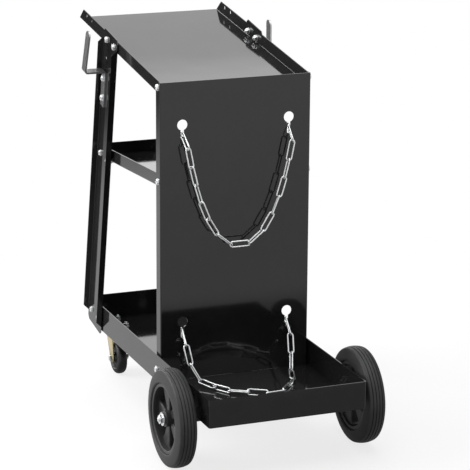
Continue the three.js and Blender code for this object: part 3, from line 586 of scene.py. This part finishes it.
def pan_head(radius, height, centre, axes):
    """Screw head: height * (1 - (r/R)**2 / HEAD_DOME) less a cross recess, with a round skirt."""
    angle = round_angles(HEAD_SEGMENTS)
    share = np.linspace(0.0, 1.0, 22)[:, None]
    near = np.minimum(np.abs(np.cos(angle)), np.abs(np.sin(angle))) * share
    arm = within((RECESS_HALF - near) / RECESS_SIDE) * within((RECESS_LENGTH - share) / RECESS_END)
    top = height * (1 - share**2 / HEAD_DOME) - RECESS_DEPTH * height * arm
    skirt = np.broadcast_to(HEAD_SKIRT[:, 1:] * height, (len(HEAD_SKIRT), HEAD_SEGMENTS))
    reach = np.concatenate([share, HEAD_SKIRT[:, :1]]) * radius
    return spun(reach, np.concatenate([top, skirt]), centre, axes, HEAD_SEGMENTS), False, True


# Chains and plates

WELD_HALF = 0.9 * MM
WELD_SWELL = 0.2  # of the wire's radius
# A plate's edge from its face to its side, as shares of the edge's radius: draw-in and rise
PLATE_EDGE = np.array([(1.0, 0.0), (0.3, 0.3), (0.0, 1.0)])


def link_wire(size, centre, along, across):
    """Round wire carried along a racetrack: two straights and two half circles. The wire swells
    where one straight is welded."""
    straight, bend = size.link_straight, size.link_bend
    half_way = straight + math.pi * bend
    side = np.linspace(0.0, straight, 16, endpoint=False)
    end = straight + np.linspace(0.0, math.pi * bend, 14, endpoint=False)
    path = np.concatenate([side, end, side + half_way, end + half_way])
    turn = path % half_way
    arc = np.clip((turn - straight) / bend, 0.0, math.pi)
    flip = np.where(path < half_way, 1.0, -1.0)
    out_x, out_y = flip * np.cos(arc), flip * np.sin(arc)
    x, y = bend * out_x, bend * out_y + flip * (np.minimum(turn, straight) - straight / 2)
    weld = np.exp(-(((path - straight / 2) / WELD_HALF) ** 2))
    wire = size.link_wire * (1 + WELD_SWELL * weld)
    angle = round_angles(14)[None, :, None]
    middle = centre + x[:, None] * across + y[:, None] * along
    out = out_x[:, None] * across + out_y[:, None] * along
    section = np.cos(angle) * out[:, None] + np.sin(angle) * np.cross(along, across)
    return middle[:, None] + wire[:, None, None] * section, True, True


def link_axes(name):
    """Middle, long axis and wide axis of a chain link, from its vertices' principal directions."""
    points = np.unique(np.round(node_points(name), 6), axis=0)
    centre = points.mean(axis=0)
    directions = np.linalg.svd(points - centre, full_matrices=False)[2]
    return centre, directions[0], directions[1]


def plate(outline, low, high, rounding):
    """Flat plate in (u, v, w): its outline carried round an edge that is drawn in at both faces,
    and closed in the middle of each face."""
    middle = (outline.min(axis=0) + outline.max(axis=0)) / 2
    step = np.roll(outline, -1, axis=0) - np.roll(outline, 1, axis=0)
    normal = np.stack([step[:, 1], -step[:, 0]], 1) / np.linalg.norm(step, axis=1, keepdims=True)
    drawn, rise = (PLATE_EDGE * rounding).T
    drawn = np.concatenate([drawn, drawn[::-1]])
    height = np.concatenate([low + rise, high - rise[::-1]])
    rings = outline[None] - drawn[:, None, None] * normal[None]
    height = np.broadcast_to(height[:, None, None], (*rings.shape[:2], 1))
    ends = [np.broadcast_to([*middle, level], (1, len(outline), 3)) for level in (low, high)]
    return np.concatenate([ends[0], np.concatenate([rings, height], axis=2), ends[1]])


# Sizes and finishes that a user may change


def length(name, description, millimetres):
    """A length in metres, given in millimetres."""
    return bpy.props.FloatProperty(
        name=name, description=description, default=millimetres * MM, unit="LENGTH", precision=5
    )


def factor(name, description, value):
    """A share from 0 to 1."""
    return bpy.props.FloatProperty(
        name=name, description=description, default=value, min=0.0, max=1.0, subtype="FACTOR"
    )


def tint(name, description, value):
    """A colour."""
    return bpy.props.FloatVectorProperty(
        name=name, description=description, default=value, size=3, min=0.0, max=1.0, subtype="COLOR"
    )


def brightness(name, description, value):
    """A level of light, white at 1."""
    return bpy.props.FloatProperty(name=name, description=description, default=value, min=0.0)


class CartWheelSizes(bpy.types.PropertyGroup):
    """Sizes of the rear wheels, in the part's frame"""

    tyre_radius: length("Tyre radius", "Outer radius of a rear tyre", 86.0)
    tyre_half: length("Tyre half width", "Half the width of a rear tyre", 18.4)
    tyre_belly: length("Tyre belly", "Radius at which a rear tyre is widest", 65.0)
    tyre_bore: length("Tyre bore", "Radius at which the tyre sits on its rim", 62.0)
    tyre_dish: length("Tyre dish", "How far the sidewall falls back towards the rim", 0.8)
    tyre_edge: length("Tyre edge", "Reach of the round between sidewall and tread", 2.4)
    tread_half: length("Tread half width", "Half the width of the tread", 14.8)
    tread_crown: length("Tread crown", "How far the tread falls from its middle to its edge", 2.8)
    groove_pitch: length("Groove pitch", "Distance between tread grooves", 5.7)
    groove_depth: length("Groove depth", "Depth of the tread grooves", 1.8)
    rim_inner: length("Rim inner radius", "Inner radius of the rim's ring", 54.8)
    rim_half: length("Rim half width", "Half the width of the rim's ring", 15.6)
    boss_radius: length("Boss radius", "Radius of the rim's boss", 14.2)
    boss_inner: length("Boss inner end", "Inner end of the boss, from the wheel's middle", -17.0)
    boss_outer: length("Boss outer end", "Outer end of the boss, from the wheel's middle", 17.2)
    spoke_root: length("Spoke root", "Half width of a spoke at the boss", 4.5)
    spoke_rim: length("Spoke rim", "Half width of a spoke at the ring", 17.0)
    spoke_face: length("Spoke face", "Outer face of the spokes, from the wheel's middle", 6.0)
    spoke_depth: length("Spoke depth", "Thickness of the spokes", 18.0)
    spokes: bpy.props.IntProperty(
        name="Spokes", description="Number of spokes", default=5, min=3, max=9
    )
    spoke_first: bpy.props.FloatProperty(
        name="First spoke", description="Angle of the first spoke from straight up",
        default=math.radians(-18), subtype="ANGLE",
    )


class CartFastenerSizes(bpy.types.PropertyGroup):
    """Sizes of chains and fasteners"""

    link_wire: length("Link wire", "Radius of the chain's wire", 1.5)
    link_bend: length("Link bend", "Centreline radius of a link's round ends", 4.9)
    link_straight: length("Link straight", "Length of a link's straight sides", 27.5)
    head_radius: length("Head radius", "Radius of a screw head", 5.2)
    head_height: length("Head height", "Height of a screw head", 3.4)
    nut_flats: length("Nut flats", "Width of a small nut across its flats", 9.6)
    nut_height: length("Nut height", "Height of a small nut", 4.6)
    axle_flats: length("Axle nut flats", "Width of an axle nut across its flats", 15.0)
    axle_height: length("Axle nut height", "Height of an axle nut", 4.8)


class CartFinishes(bpy.types.PropertyGroup):
    """Colours and gloss of the cart's finishes"""

    paint: tint("Paint", "Gloss black powder coat", (0.016, 0.016, 0.0165))
    paint_roughness: factor("Paint roughness", "Roughness of the gloss paint", 0.075)
    hook: tint("Hook steel", "Dull plated steel of the cable hooks", (0.58, 0.58, 0.59))
    hook_roughness: factor("Hook roughness", "Roughness of the hooks", 0.34)
    rubber: tint("Rubber", "Tyre rubber", (0.031, 0.031, 0.0315))
    rubber_roughness: factor("Rubber roughness", "Roughness of the tyres", 0.56)
    rim: tint("Rim plastic", "Moulded rims", (0.034, 0.034, 0.0345))
    rim_roughness: factor("Rim roughness", "Roughness of the rims", 0.42)
    caster: tint("Caster plastic", "Caster wheels", (0.008, 0.008, 0.0085))
    caster_roughness: factor("Caster roughness", "Roughness of the caster wheels", 0.4)
    zinc: tint("Zinc", "Bright zinc plate", (0.84, 0.85, 0.86))
    zinc_roughness: factor("Zinc roughness", "Roughness of the zinc plate", 0.3)
    yellow: tint("Yellow zinc", "Yellow passivated plate", (0.70, 0.61, 0.38))
    yellow_roughness: factor("Yellow zinc roughness", "Roughness of the yellow plate", 0.34)


class CartStage(bpy.types.PropertyGroup):
    """Camera, floor and lights"""

    floor_front: length("Floor front", "Front end of the pale floor", -2800.0)
    floor_rear: length("Floor rear", "Rear end of the pale floor", 5200.0)
    floor_half: length("Floor half width", "Half the width of the pale floor", 3600.0)
    sky: brightness("Sky", "Level of the light from all round", 0.3)
    front: brightness("Front", "Brightness of the large softbox in front", 1.2)
    overhead: brightness("Overhead", "Brightness of the softbox overhead", 2.2)
    side: brightness("Side", "Brightness of the softbox at the left side", 6.0)
    strip: brightness("Strip", "Brightness of the narrow softbox for the folds", 7.0)
    lens: bpy.props.FloatProperty(
        name="Lens", description="Focal length of the camera",
        default=172.21, min=1.0, unit="CAMERA",
    )


# Operators


class CART_OT_sheets(bpy.types.Operator):
    """Gives the sheet metal, hooks, caster plates and caster bolts their finishes"""

    bl_idname = "cart.sheets"
    bl_label = "Finish the sheet metal"

    def execute(self, context):
        for name, node in NODES.items():
            for slot, starts in DRESSED.items():
                if name.startswith(starts):
                    for place in node.material_slots:
                        place.material = finish_of(slot)
        return {"FINISHED"}


class CART_OT_wheels(bpy.types.Operator):
    """Makes the ribbed tyres and the spoked rims of the rear wheels"""

    bl_idname = "cart.wheels"
    bl_label = "Make the rear wheels"

    def execute(self, context):
        size = context.scene.cart_wheel_sizes
        angles = size.spoke_first + np.arange(size.spokes) * CIRCLE / size.spokes
        for side, sign in SIDES:
            node = f"rear_tyre_{side}"
            centre = node_centre(node)
            tyre = turned(tyre_profile(size), centre, axes_x(sign), TYRE_SEGMENTS), True, True
            add_piece(f"ribbed_tyre_{side}", [tyre], "tyre_rubber", node, TYRE_SHARP)
            spokes = [rim_spoke(size, centre, sign, angle) for angle in angles]
            sheets = [rim_ring(size, centre, sign), hub(size, centre, sign), *spokes]
            add_piece(f"spoked_rim_{side}", sheets, "rim_plastic", f"rear_rim_{side}")
        return {"FINISHED"}


class CART_OT_axle_nuts(bpy.types.Operator):
    """Makes the axle with its nuts, washers and threaded ends"""

    bl_idname = "cart.axle_nuts"
    bl_label = "Make the axle nuts"

    GAP = 0.3 * MM  # between boss and washer
    WASHER = (11.8 * MM, 4.5 * MM, 1.6 * MM)  # radius, bore and thickness
    NUT_BORE = 4.2 * MM
    THREAD, THREAD_PITCH = 4.4 * MM, 1.25 * MM
    THREAD_PAST = 3.8 * MM  # length of the thread more than the nut's height
    ROD = 6.0 * MM

    def execute(self, context):
        size = context.scene.cart_fastener_sizes
        seat = context.scene.cart_wheel_sizes.boss_outer + self.GAP
        nut = size.axle_flats, size.axle_height, self.NUT_BORE
        bolt = self.THREAD, size.axle_height + self.THREAD_PAST, self.THREAD_PITCH
        for side, sign in SIDES:
            wheel = node_centre(f"rear_tyre_{side}")
            under = wheel + np.array([sign * seat, 0.0, 0.0])
            sheets = nut_and_thread(self.WASHER, nut, bolt, under, axes_x(sign))
            add_piece(f"axle_fastening_{side}", sheets, "zinc", f"axle_nut_{side}")
        end = abs(under[0])
        rod = [(0.0, -end), (self.ROD, -end), (self.ROD, end), (0.0, end)]
        sheet = turned(rod, wheel * (0.0, 1.0, 1.0), axes_x(1.0), segments=48), False, True
        add_piece("axle_rod", [sheet], "zinc", "axle")
        return {"FINISHED"}


class CART_OT_casters(bpy.types.Operator):
    """Makes the casters' wheels and pressed forks"""

    bl_idname = "cart.casters"
    bl_label = "Make the casters"

    # Half the outline of a wheel, from its bore to the middle of its tread: radius and station
    FACE = MM * np.array([
        (3.5, 10.3), (8.0, 10.3), (10.0, 6.5), (20.5, 6.5), (22.0, 9.5),
        (24.5, 9.5), (28.6, 8.4), (30.7, 5.6), (31.4, 2.6), (31.5, 0.0),
    ])
    FACE_ROUND = 1.6 * MM
    # Section of the crown: radius and height above the floor
    CROWN = MM * np.array([
        (5.3, 83.0), (19.6, 83.0), (21.0, 84.4), (21.0, 87.6), (18.4, 90.0), (15.0, 90.0),
        (13.0, 88.6), (10.0, 88.6), (8.0, 90.0), (5.3, 90.0), (5.3, 83.0),
    ])
    CROWN_ROUND = 1.0 * MM
    # A cheek: round eye at the wheel's bolt, then shoulders by distance behind the pivot and height
    EYE = 9.0 * MM
    EYE_ARC = (math.pi * 1.2, math.pi * 2.1)
    SHOULDERS = MM * np.array([(17.0, 81.0), (17.0, 88.6), (-17.0, 88.6), (-17.0, 77.0)])
    SHOULDER_ROUND = 3.0 * MM
    CHEEKS = (11.2 * MM, -13.7 * MM)  # where the two cheeks begin across the fork
    CHEEK = 2.5 * MM
    CHEEK_ROUND = 0.5 * MM
    UP = ((0.0, 0.0, 1.0), (1.0, 0.0, 0.0), (0.0, 1.0, 0.0))

    def execute(self, context):
        for side, sign in SIDES:
            node = f"caster_wheel_{side}"
            centre = node_centre(node)
            face = rounded(self.FACE, self.FACE_ROUND)
            profile = np.concatenate([face, face[-2::-1] * (1.0, -1.0)])
            sheet = turned(profile, centre, axes_x(sign), segments=80), True, True
            add_piece(f"caster_roller_{side}", [sheet], "caster_plastic", node)
            self.fork(side, centre)
        return {"FINISHED"}

    def fork(self, side, wheel):
        """Domed crown with a race groove, and two cheeks with rounded edges."""
        pivot = node_centre(f"caster_plate_{side}") * (1.0, 1.0, 0.0)
        crown = rounded(self.CROWN, self.CROWN_ROUND)
        crown = turned(crown, pivot, self.UP, segments=72), False, True
        angle = np.linspace(*self.EYE_ARC, 22)
        eye = self.EYE * np.stack([np.cos(angle), np.sin(angle)], axis=1) + (wheel - pivot)[1:]
        path = np.concatenate([eye[-1:], self.SHOULDERS, eye[:1]])
        outline = np.concatenate([eye, rounded(path, self.SHOULDER_ROUND)[1:-1]])
        sheets = [crown]
        for low in self.CHEEKS:
            flat = plate(outline, low, low + self.CHEEK, self.CHEEK_ROUND)
            sheets.append((np.roll(flat, 1, axis=-1) + pivot, False, True))
        node = f"caster_fork_{side}"
        add_piece(f"caster_pressed_fork_{side}", sheets, "yellow_zinc", node)


class CART_OT_chains(bpy.types.Operator):
    """Makes every chain link as a welded loop of round wire, where its node is"""

    bl_idname = "cart.chains"
    bl_label = "Make the chains"

    def execute(self, context):
        size = context.scene.cart_fastener_sizes
        for name in sorted(node for node in NODES if "_chain_" in node):
            add_piece(f"{name}_wire", [link_wire(size, *link_axes(name))], "zinc", name)
        return {"FINISHED"}


class CART_OT_bolts(bpy.types.Operator):
    """Makes the screws, washers and nuts that hold legs, hooks, shelves, panel and casters"""

    bl_idname = "cart.bolts"
    bl_label = "Make the bolts"

    # Leg: foot of the web's inner face, lean towards the rear and inward lean
    LEG_FOOT = np.array([144.811 * MM, -363.9 * MM + SHIFT, 93.8 * MM])
    LEAN = math.radians(9.72)
    CLOSE = 0.009975
    # Screws in mm: three places along a leg's axes or the panel's, and grip
    LEG_SPOTS = (
        (1.5, -20.0, 573.4, 3.5), (1.5, 20.0, 573.4, 3.5),  # top shelf
        (4.8, -20.0, 461.0, 4.9), (4.8, -20.0, 499.0, 4.9),  # hook
        (1.5, -20.0, 351.4, 6.5), (1.5, 20.0, 351.4, 6.5),  # middle shelf
        (1.5, -20.0, 27.0, 4.2), (1.5, 20.0, 27.0, 4.2),  # tray
    )
    PANEL_FOOT = np.array([0.0, SHIFT, 0.0])
    PANEL_SPOTS = (
        (140.5, -11.0, 627.0, 3.4),  # top shelf
        (140.5, -11.0, 460.5, 3.4),  # middle shelf
        (144.0, -11.0, 118.0, 5.2),  # tray
    )
    # Bolts of a caster's plate, in mm from its middle
    CASTER_SPOTS = ((-10.7, -19.6), (10.7, -19.6), (-10.7, 30.3), (10.7, 30.3))
    CASTER_GRIP = 4.4 * MM
    CASTER_HEAD = 2.6 * MM
    TRAY_FLOOR = 97.5 * MM
    HEAD_WASHER = (6.3 * MM, 3.1 * MM, 1.1 * MM)  # radius, bore and thickness
    NUT_WASHER = (6.0 * MM, 3.1 * MM, 1.0 * MM)
    NUT_BORE = 2.9 * MM
    # Threads past the sheets: radius, length and pitch
    SCREW_END = (2.95 * MM, 8.2 * MM, 1.0 * MM)
    CASTER_END = (2.95 * MM, 8.6 * MM, 1.0 * MM)

    def execute(self, context):
        size = context.scene.cart_fastener_sizes
        nut = size.nut_flats, size.nut_height, self.NUT_BORE
        groups = {
            "leg_screws": (self.LEG_SPOTS, self.LEG_FOOT, self.leg_axes()),
            "panel_screws": (self.PANEL_SPOTS, self.PANEL_FOOT, np.eye(3)),
        }
        for side, sign in SIDES:
            mirror = np.array([sign, 1.0, 1.0])
            for name, group in groups.items():
                add_piece(f"{name}_{side}", self.screws(size, nut, mirror, *group), "zinc")
            add_piece(f"caster_fixings_{side}", self.caster_fixings(size, nut, side), "zinc")
        return {"FINISHED"}

    def leg_axes(self):
        """The left leg's directions outwards, across and along."""
        lean, upright = math.sin(self.LEAN), math.cos(self.LEAN)
        close, level = math.sin(self.CLOSE), math.cos(self.CLOSE)
        return np.array([
            (level, 0.0, close),
            (lean * close, upright, -lean * level),
            (-upright * close, lean, upright * level),
        ])

    def screws(self, size, nut, mirror, spots, foot, axes):
        """Screws through sheets: washer and head on the outside, washer, nut and thread inside."""
        out, second, third = turned_axes = axes * mirror
        inner = (-out, second, -third)
        sheets = []
        for *place, grip in spots:
            seat = (foot + np.array(place) @ axes * MM) * mirror
            over, under = seat + out * self.HEAD_WASHER[2], seat - out * grip * MM
            sheets += [
                washer(*self.HEAD_WASHER, seat, turned_axes),
                pan_head(size.head_radius, size.head_height, over, turned_axes),
                *nut_and_thread(self.NUT_WASHER, nut, self.SCREW_END, under, inner),
            ]
        return sheets

    def caster_fixings(self, size, nut, side):
        """Four bolts up through the caster's plate, with washers and nuts on the tray's floor."""
        pivot = node_centre(f"caster_plate_{side}")
        up = np.roll(np.eye(3), 1, axis=0)
        down = -up[0], up[1], -up[2]
        sheets = []
        for x, y in self.CASTER_SPOTS:
            floor = np.array([pivot[0] + x * MM, pivot[1] + y * MM, self.TRAY_FLOOR])
            under = floor - up[0] * self.CASTER_GRIP
            sheets += nut_and_thread(self.HEAD_WASHER, nut, self.CASTER_END, floor, up)
            sheets.append(pan_head(size.head_radius, self.CASTER_HEAD, under, down))
        return sheets


class CART_OT_stage(bpy.types.Operator):
    """Sets the camera, the pale floor, the soft lights and the white background"""

    bl_idname = "cart.stage"
    bl_label = "Set the stage"

    CAMERA_PLACE = (1.40124, 3.56073 + SHIFT, 1.39896)
    CAMERA_TURNS = (21.4692, 15.2735, 0.3417)  # yaw, pitch and roll in degrees
    SENSOR = 36.0
    # Panes of the large softbox in front, each in a plane of its own: place, height, tallness and
    # share of the brightness
    PANES = {
        "tall": (-2.92, 1.9, 3.1, 1.0),
        "upper": (-2.88, 2.75, 1.3, 0.5),
        "lower": (-2.84, 0.78, 0.88, 0.28),
    }
    PANE_X, PANE_WIDTH = -1.15, 2.5
    # Other softboxes: place, spot that they face, width and height
    LAMPS = {
        "overhead": ((0.0, 0.3, 3.4), (0.0, 0.31, 0.0), (3.0, 3.0)),
        "side": ((2.8, -1.3, 2.0), (0.0, 0.2, 0.35), (2.6, 2.6)),
        "strip": ((0.5, -2.9, 1.7), (0.5, 0.0, 1.7), (0.5, 2.2)),
    }
    # Passages of the floor's tone and the sky's: reach of the value that they follow, and levels.
    # The floor's tone in reflections is painted: a painted shadow in a strip behind the panel and
    # under the cart, painted shade towards its front end and painted light far to the rear
    PLAIN = ((0.35, 1.1), (0.78, 1.0))  # share of plain white, by distance from the cart
    # painted shadow: in reflections the floor is darker in a strip behind the panel, where the
    # cart's shadow falls
    BAND_END, BAND_START = ((0.7, 0.88), (0.5, 0.0)), ((0.15, 0.4), (0.5, 0.0))
    # painted shade: in reflections the floor darkens towards its front end
    FRONT_END, FRONT_LEVELS = -1.3, (0.8, 0.0)
    # painted light: in reflections the floor grows brighter far to the rear
    REAR = ((1.0, 3.0), (0.0, 0.18))
    # painted shadow: in reflections the floor is darker under the cart
    UNDER_WIDTH = ((0.018, 0.045), (0.3, 1.0))  # by the square of the distance from the middle
    UNDER_DEPTH = ((0.08, 0.16), (0.3, 1.0))
    MIRRORED = 0.86
    PAPER, PAPER_SEEN = 0.35, 0.9  # grey of the paper as a light and to the camera
    SKY = ((-0.1, 0.6), (0.12, 0.95))  # in reflections, from front to rear
    GROUND = 0.04  # of the sky below the horizon

    def execute(self, context):
        stage = context.scene.cart_stage
        context.scene.view_settings.view_transform = "Standard"
        self.camera(stage)
        self.floor(stage)
        self.sky(stage)
        for name, (depth, height, tall, share) in self.PANES.items():
            place, target = (self.PANE_X, depth, height), (self.PANE_X, 0.0, height)
            size, level = (self.PANE_WIDTH, tall), stage.front * share
            self.softbox(f"{name}_front_softbox", place, target, size, level)
        for name, (place, target, size) in self.LAMPS.items():
            self.softbox(f"{name}_softbox", place, target, size, getattr(stage, name))
        return {"FINISHED"}

    def camera(self, stage):
        """At the photo's place, turned by its yaw, pitch and roll."""
        yaw, pitch, roll = (math.radians(angle) for angle in self.CAMERA_TURNS)
        level = np.array([-math.sin(yaw), -math.cos(yaw), 0.0])
        forward = level * math.cos(pitch) - np.array([0.0, 0.0, math.sin(pitch)])
        right = np.array([-math.cos(yaw), math.sin(yaw), 0.0])
        up = np.cross(right, forward)
        across = right * math.cos(roll) + up * math.sin(roll)
        above = up * math.cos(roll) - right * math.sin(roll)
        data = bpy.data.cameras.new("photo_view")
        data.lens, data.sensor_width, data.sensor_fit = stage.lens, self.SENSOR, "AUTO"
        data.clip_start, data.clip_end = 0.1, 100.0
        camera = add_object("photo_view", data)
        self.aim(camera, self.CAMERA_PLACE, (across, above, -forward))
        bpy.context.scene.camera = camera

    @staticmethod
    def aim(item, place, axes):
        """Puts a camera or lamp at a place, with its own axes along the given ones."""
        turn = Matrix(np.stack(axes, axis=1).tolist()).to_4x4()
        item.matrix_world = Matrix.Translation(place) @ turn

    def floor(self, stage):
        """White sheet that keeps the shadow near the cart and is plain white further out."""
        half, front, rear = stage.floor_half, stage.floor_front, stage.floor_rear
        corners = [(-half, front, 0.0), (half, front, 0.0), (half, rear, 0.0), (-half, rear, 0.0)]
        mesh = bpy.data.meshes.new("pale_floor")
        mesh.from_pydata(corners, [], [(0, 1, 2, 3)])
        floor = add_object("pale_floor", mesh)
        mesh.materials.append(self.paper(front))

    def paper(self, front):
        """Matt paper for lamps and shadows. In the gloss paint it shows as a white sheet with
        painted shade:
        darker towards its front end, a painted shadow behind the panel and under the cart, and
        painted light far to the rear."""
        paper = Finish(bpy.data.materials.new("pale_floor"))
        path = paper.node("ShaderNodeLightPath")
        camera = path.of("Is Camera Ray")
        mirrored = path.of("Is Glossy Ray").most(path.of("Is Transmission Ray"))
        place = paper.place()
        away = paper.node("ShaderNodeVectorMath", {"operation": "LENGTH"}, {0: place}).of("Value")
        x = paper.node("ShaderNodeSeparateXYZ", None, {"Vector": place})
        y = x.of("Y")
        # Painted shade for reflections: a painted shadow behind the panel and under the cart,
        # darker towards the front end, painted light far to the rear
        band = paper.fade(y, *self.BAND_END) - paper.fade(y, *self.BAND_START)
        ahead = paper.fade(y, (front, self.FRONT_END), self.FRONT_LEVELS)
        behind = paper.fade(y, *self.REAR)
        under = paper.fade(x * x, *self.UNDER_WIDTH).most(paper.fade(y * y, *self.UNDER_DEPTH))
        # level in reflections: the even level plus painted light far to the rear, less painted
        # shade behind the panel and at the front end, times the painted shadow under the cart
        level = camera + (1 - camera) * (self.MIRRORED + behind - band - ahead) * under
        matt = paper.grey(self.PAPER + camera * (self.PAPER_SEEN - self.PAPER))
        plain = paper.node("ShaderNodeBsdfDiffuse", None, {"Color": matt})
        white = paper.node("ShaderNodeEmission", None, {"Color": paper.grey(level)})
        share = camera * paper.fade(away, *self.PLAIN) + (1 - camera) * mirrored
        inputs = {"Fac": share, 1: plain, 2: white}
        return paper.surface(paper.node("ShaderNodeMixShader", None, inputs))

    def sky(self, stage):
        """White to the camera and even as a light; dim in reflections, above all in front."""
        world = bpy.data.worlds.new("studio")
        bpy.context.scene.world = world
        air = Finish(world)
        path = air.node("ShaderNodeLightPath")
        towards = air.node("ShaderNodeTexCoord").of("Generated")
        towards = air.node("ShaderNodeSeparateXYZ", None, {"Vector": towards})
        over = towards.of("Z").above(0.0)
        seen = path.of("Is Camera Ray").most(path.of("Is Transmission Ray"))
        mirrored = path.of("Is Glossy Ray")
        lit = mirrored * air.fade(towards.of("Y"), *self.SKY) + (1 - mirrored) * stage.sky
        level = seen + (1 - seen) * (over * (lit - self.GROUND) + self.GROUND)
        shade = air.node("ShaderNodeBackground", None, {"Color": air.grey(level)})
        air.node("ShaderNodeOutputWorld", None, {"Surface": shade})

    def softbox(self, name, place, target, size, level):
        """Rectangular lamp of an even brightness, hidden from the camera."""
        data = bpy.data.lights.new(name, "AREA")
        data.shape, data.size, data.size_y = "RECTANGLE", *size
        data.energy = level * math.pi * size[0] * size[1]
        lamp = add_object(name, data)
        back = np.array(place) - np.array(target)
        back = back / np.linalg.norm(back)
        side = np.cross((0.0, 0.0, 1.0), back)
        side = side / np.linalg.norm(side)
        self.aim(lamp, place, (side, np.cross(back, side), back))
        lamp.visible_camera = False


class CART_PT_panel(bpy.types.Panel):
    """Lists the cart's pieces, sizes and finishes"""

    bl_label = "Welding cart"
    bl_idname = "CART_PT_panel"
    bl_space_type = "VIEW_3D"
    bl_region_type = "UI"
    bl_category = "Cart"

    def draw(self, context):
        for operator in OPERATORS:
            self.layout.operator(operator.bl_idname)
        for name, group in GROUPS.items():
            box = self.layout.box()
            for item in group.__annotations__:
                box.prop(getattr(context.scene, name), item)


OPERATORS = (
    CART_OT_stage,
    CART_OT_sheets,
    CART_OT_wheels,
    CART_OT_axle_nuts,
    CART_OT_casters,
    CART_OT_chains,
    CART_OT_bolts,
)
GROUPS = {
    "cart_wheel_sizes": CartWheelSizes,
    "cart_fastener_sizes": CartFastenerSizes,
    "cart_finishes": CartFinishes,
    "cart_stage": CartStage,
}
CLASSES = (*GROUPS.values(), *OPERATORS, CART_PT_panel)


def register():
    for item in CLASSES:
        bpy.utils.register_class(item)
    for name, group in GROUPS.items():
        setattr(bpy.types.Scene, name, bpy.props.PointerProperty(type=group))


def unregister():
    for name in GROUPS:
        delattr(bpy.types.Scene, name)
    for item in reversed(CLASSES):
        bpy.utils.unregister_class(item)


def main():
    register()
    bpy.ops.cart.stage()
    bpy.ops.cart.sheets()
    bpy.ops.cart.wheels()
    bpy.ops.cart.axle_nuts()
    bpy.ops.cart.casters()
    bpy.ops.cart.chains()
    bpy.ops.cart.bolts()


if __name__ == "__main__":
    main()
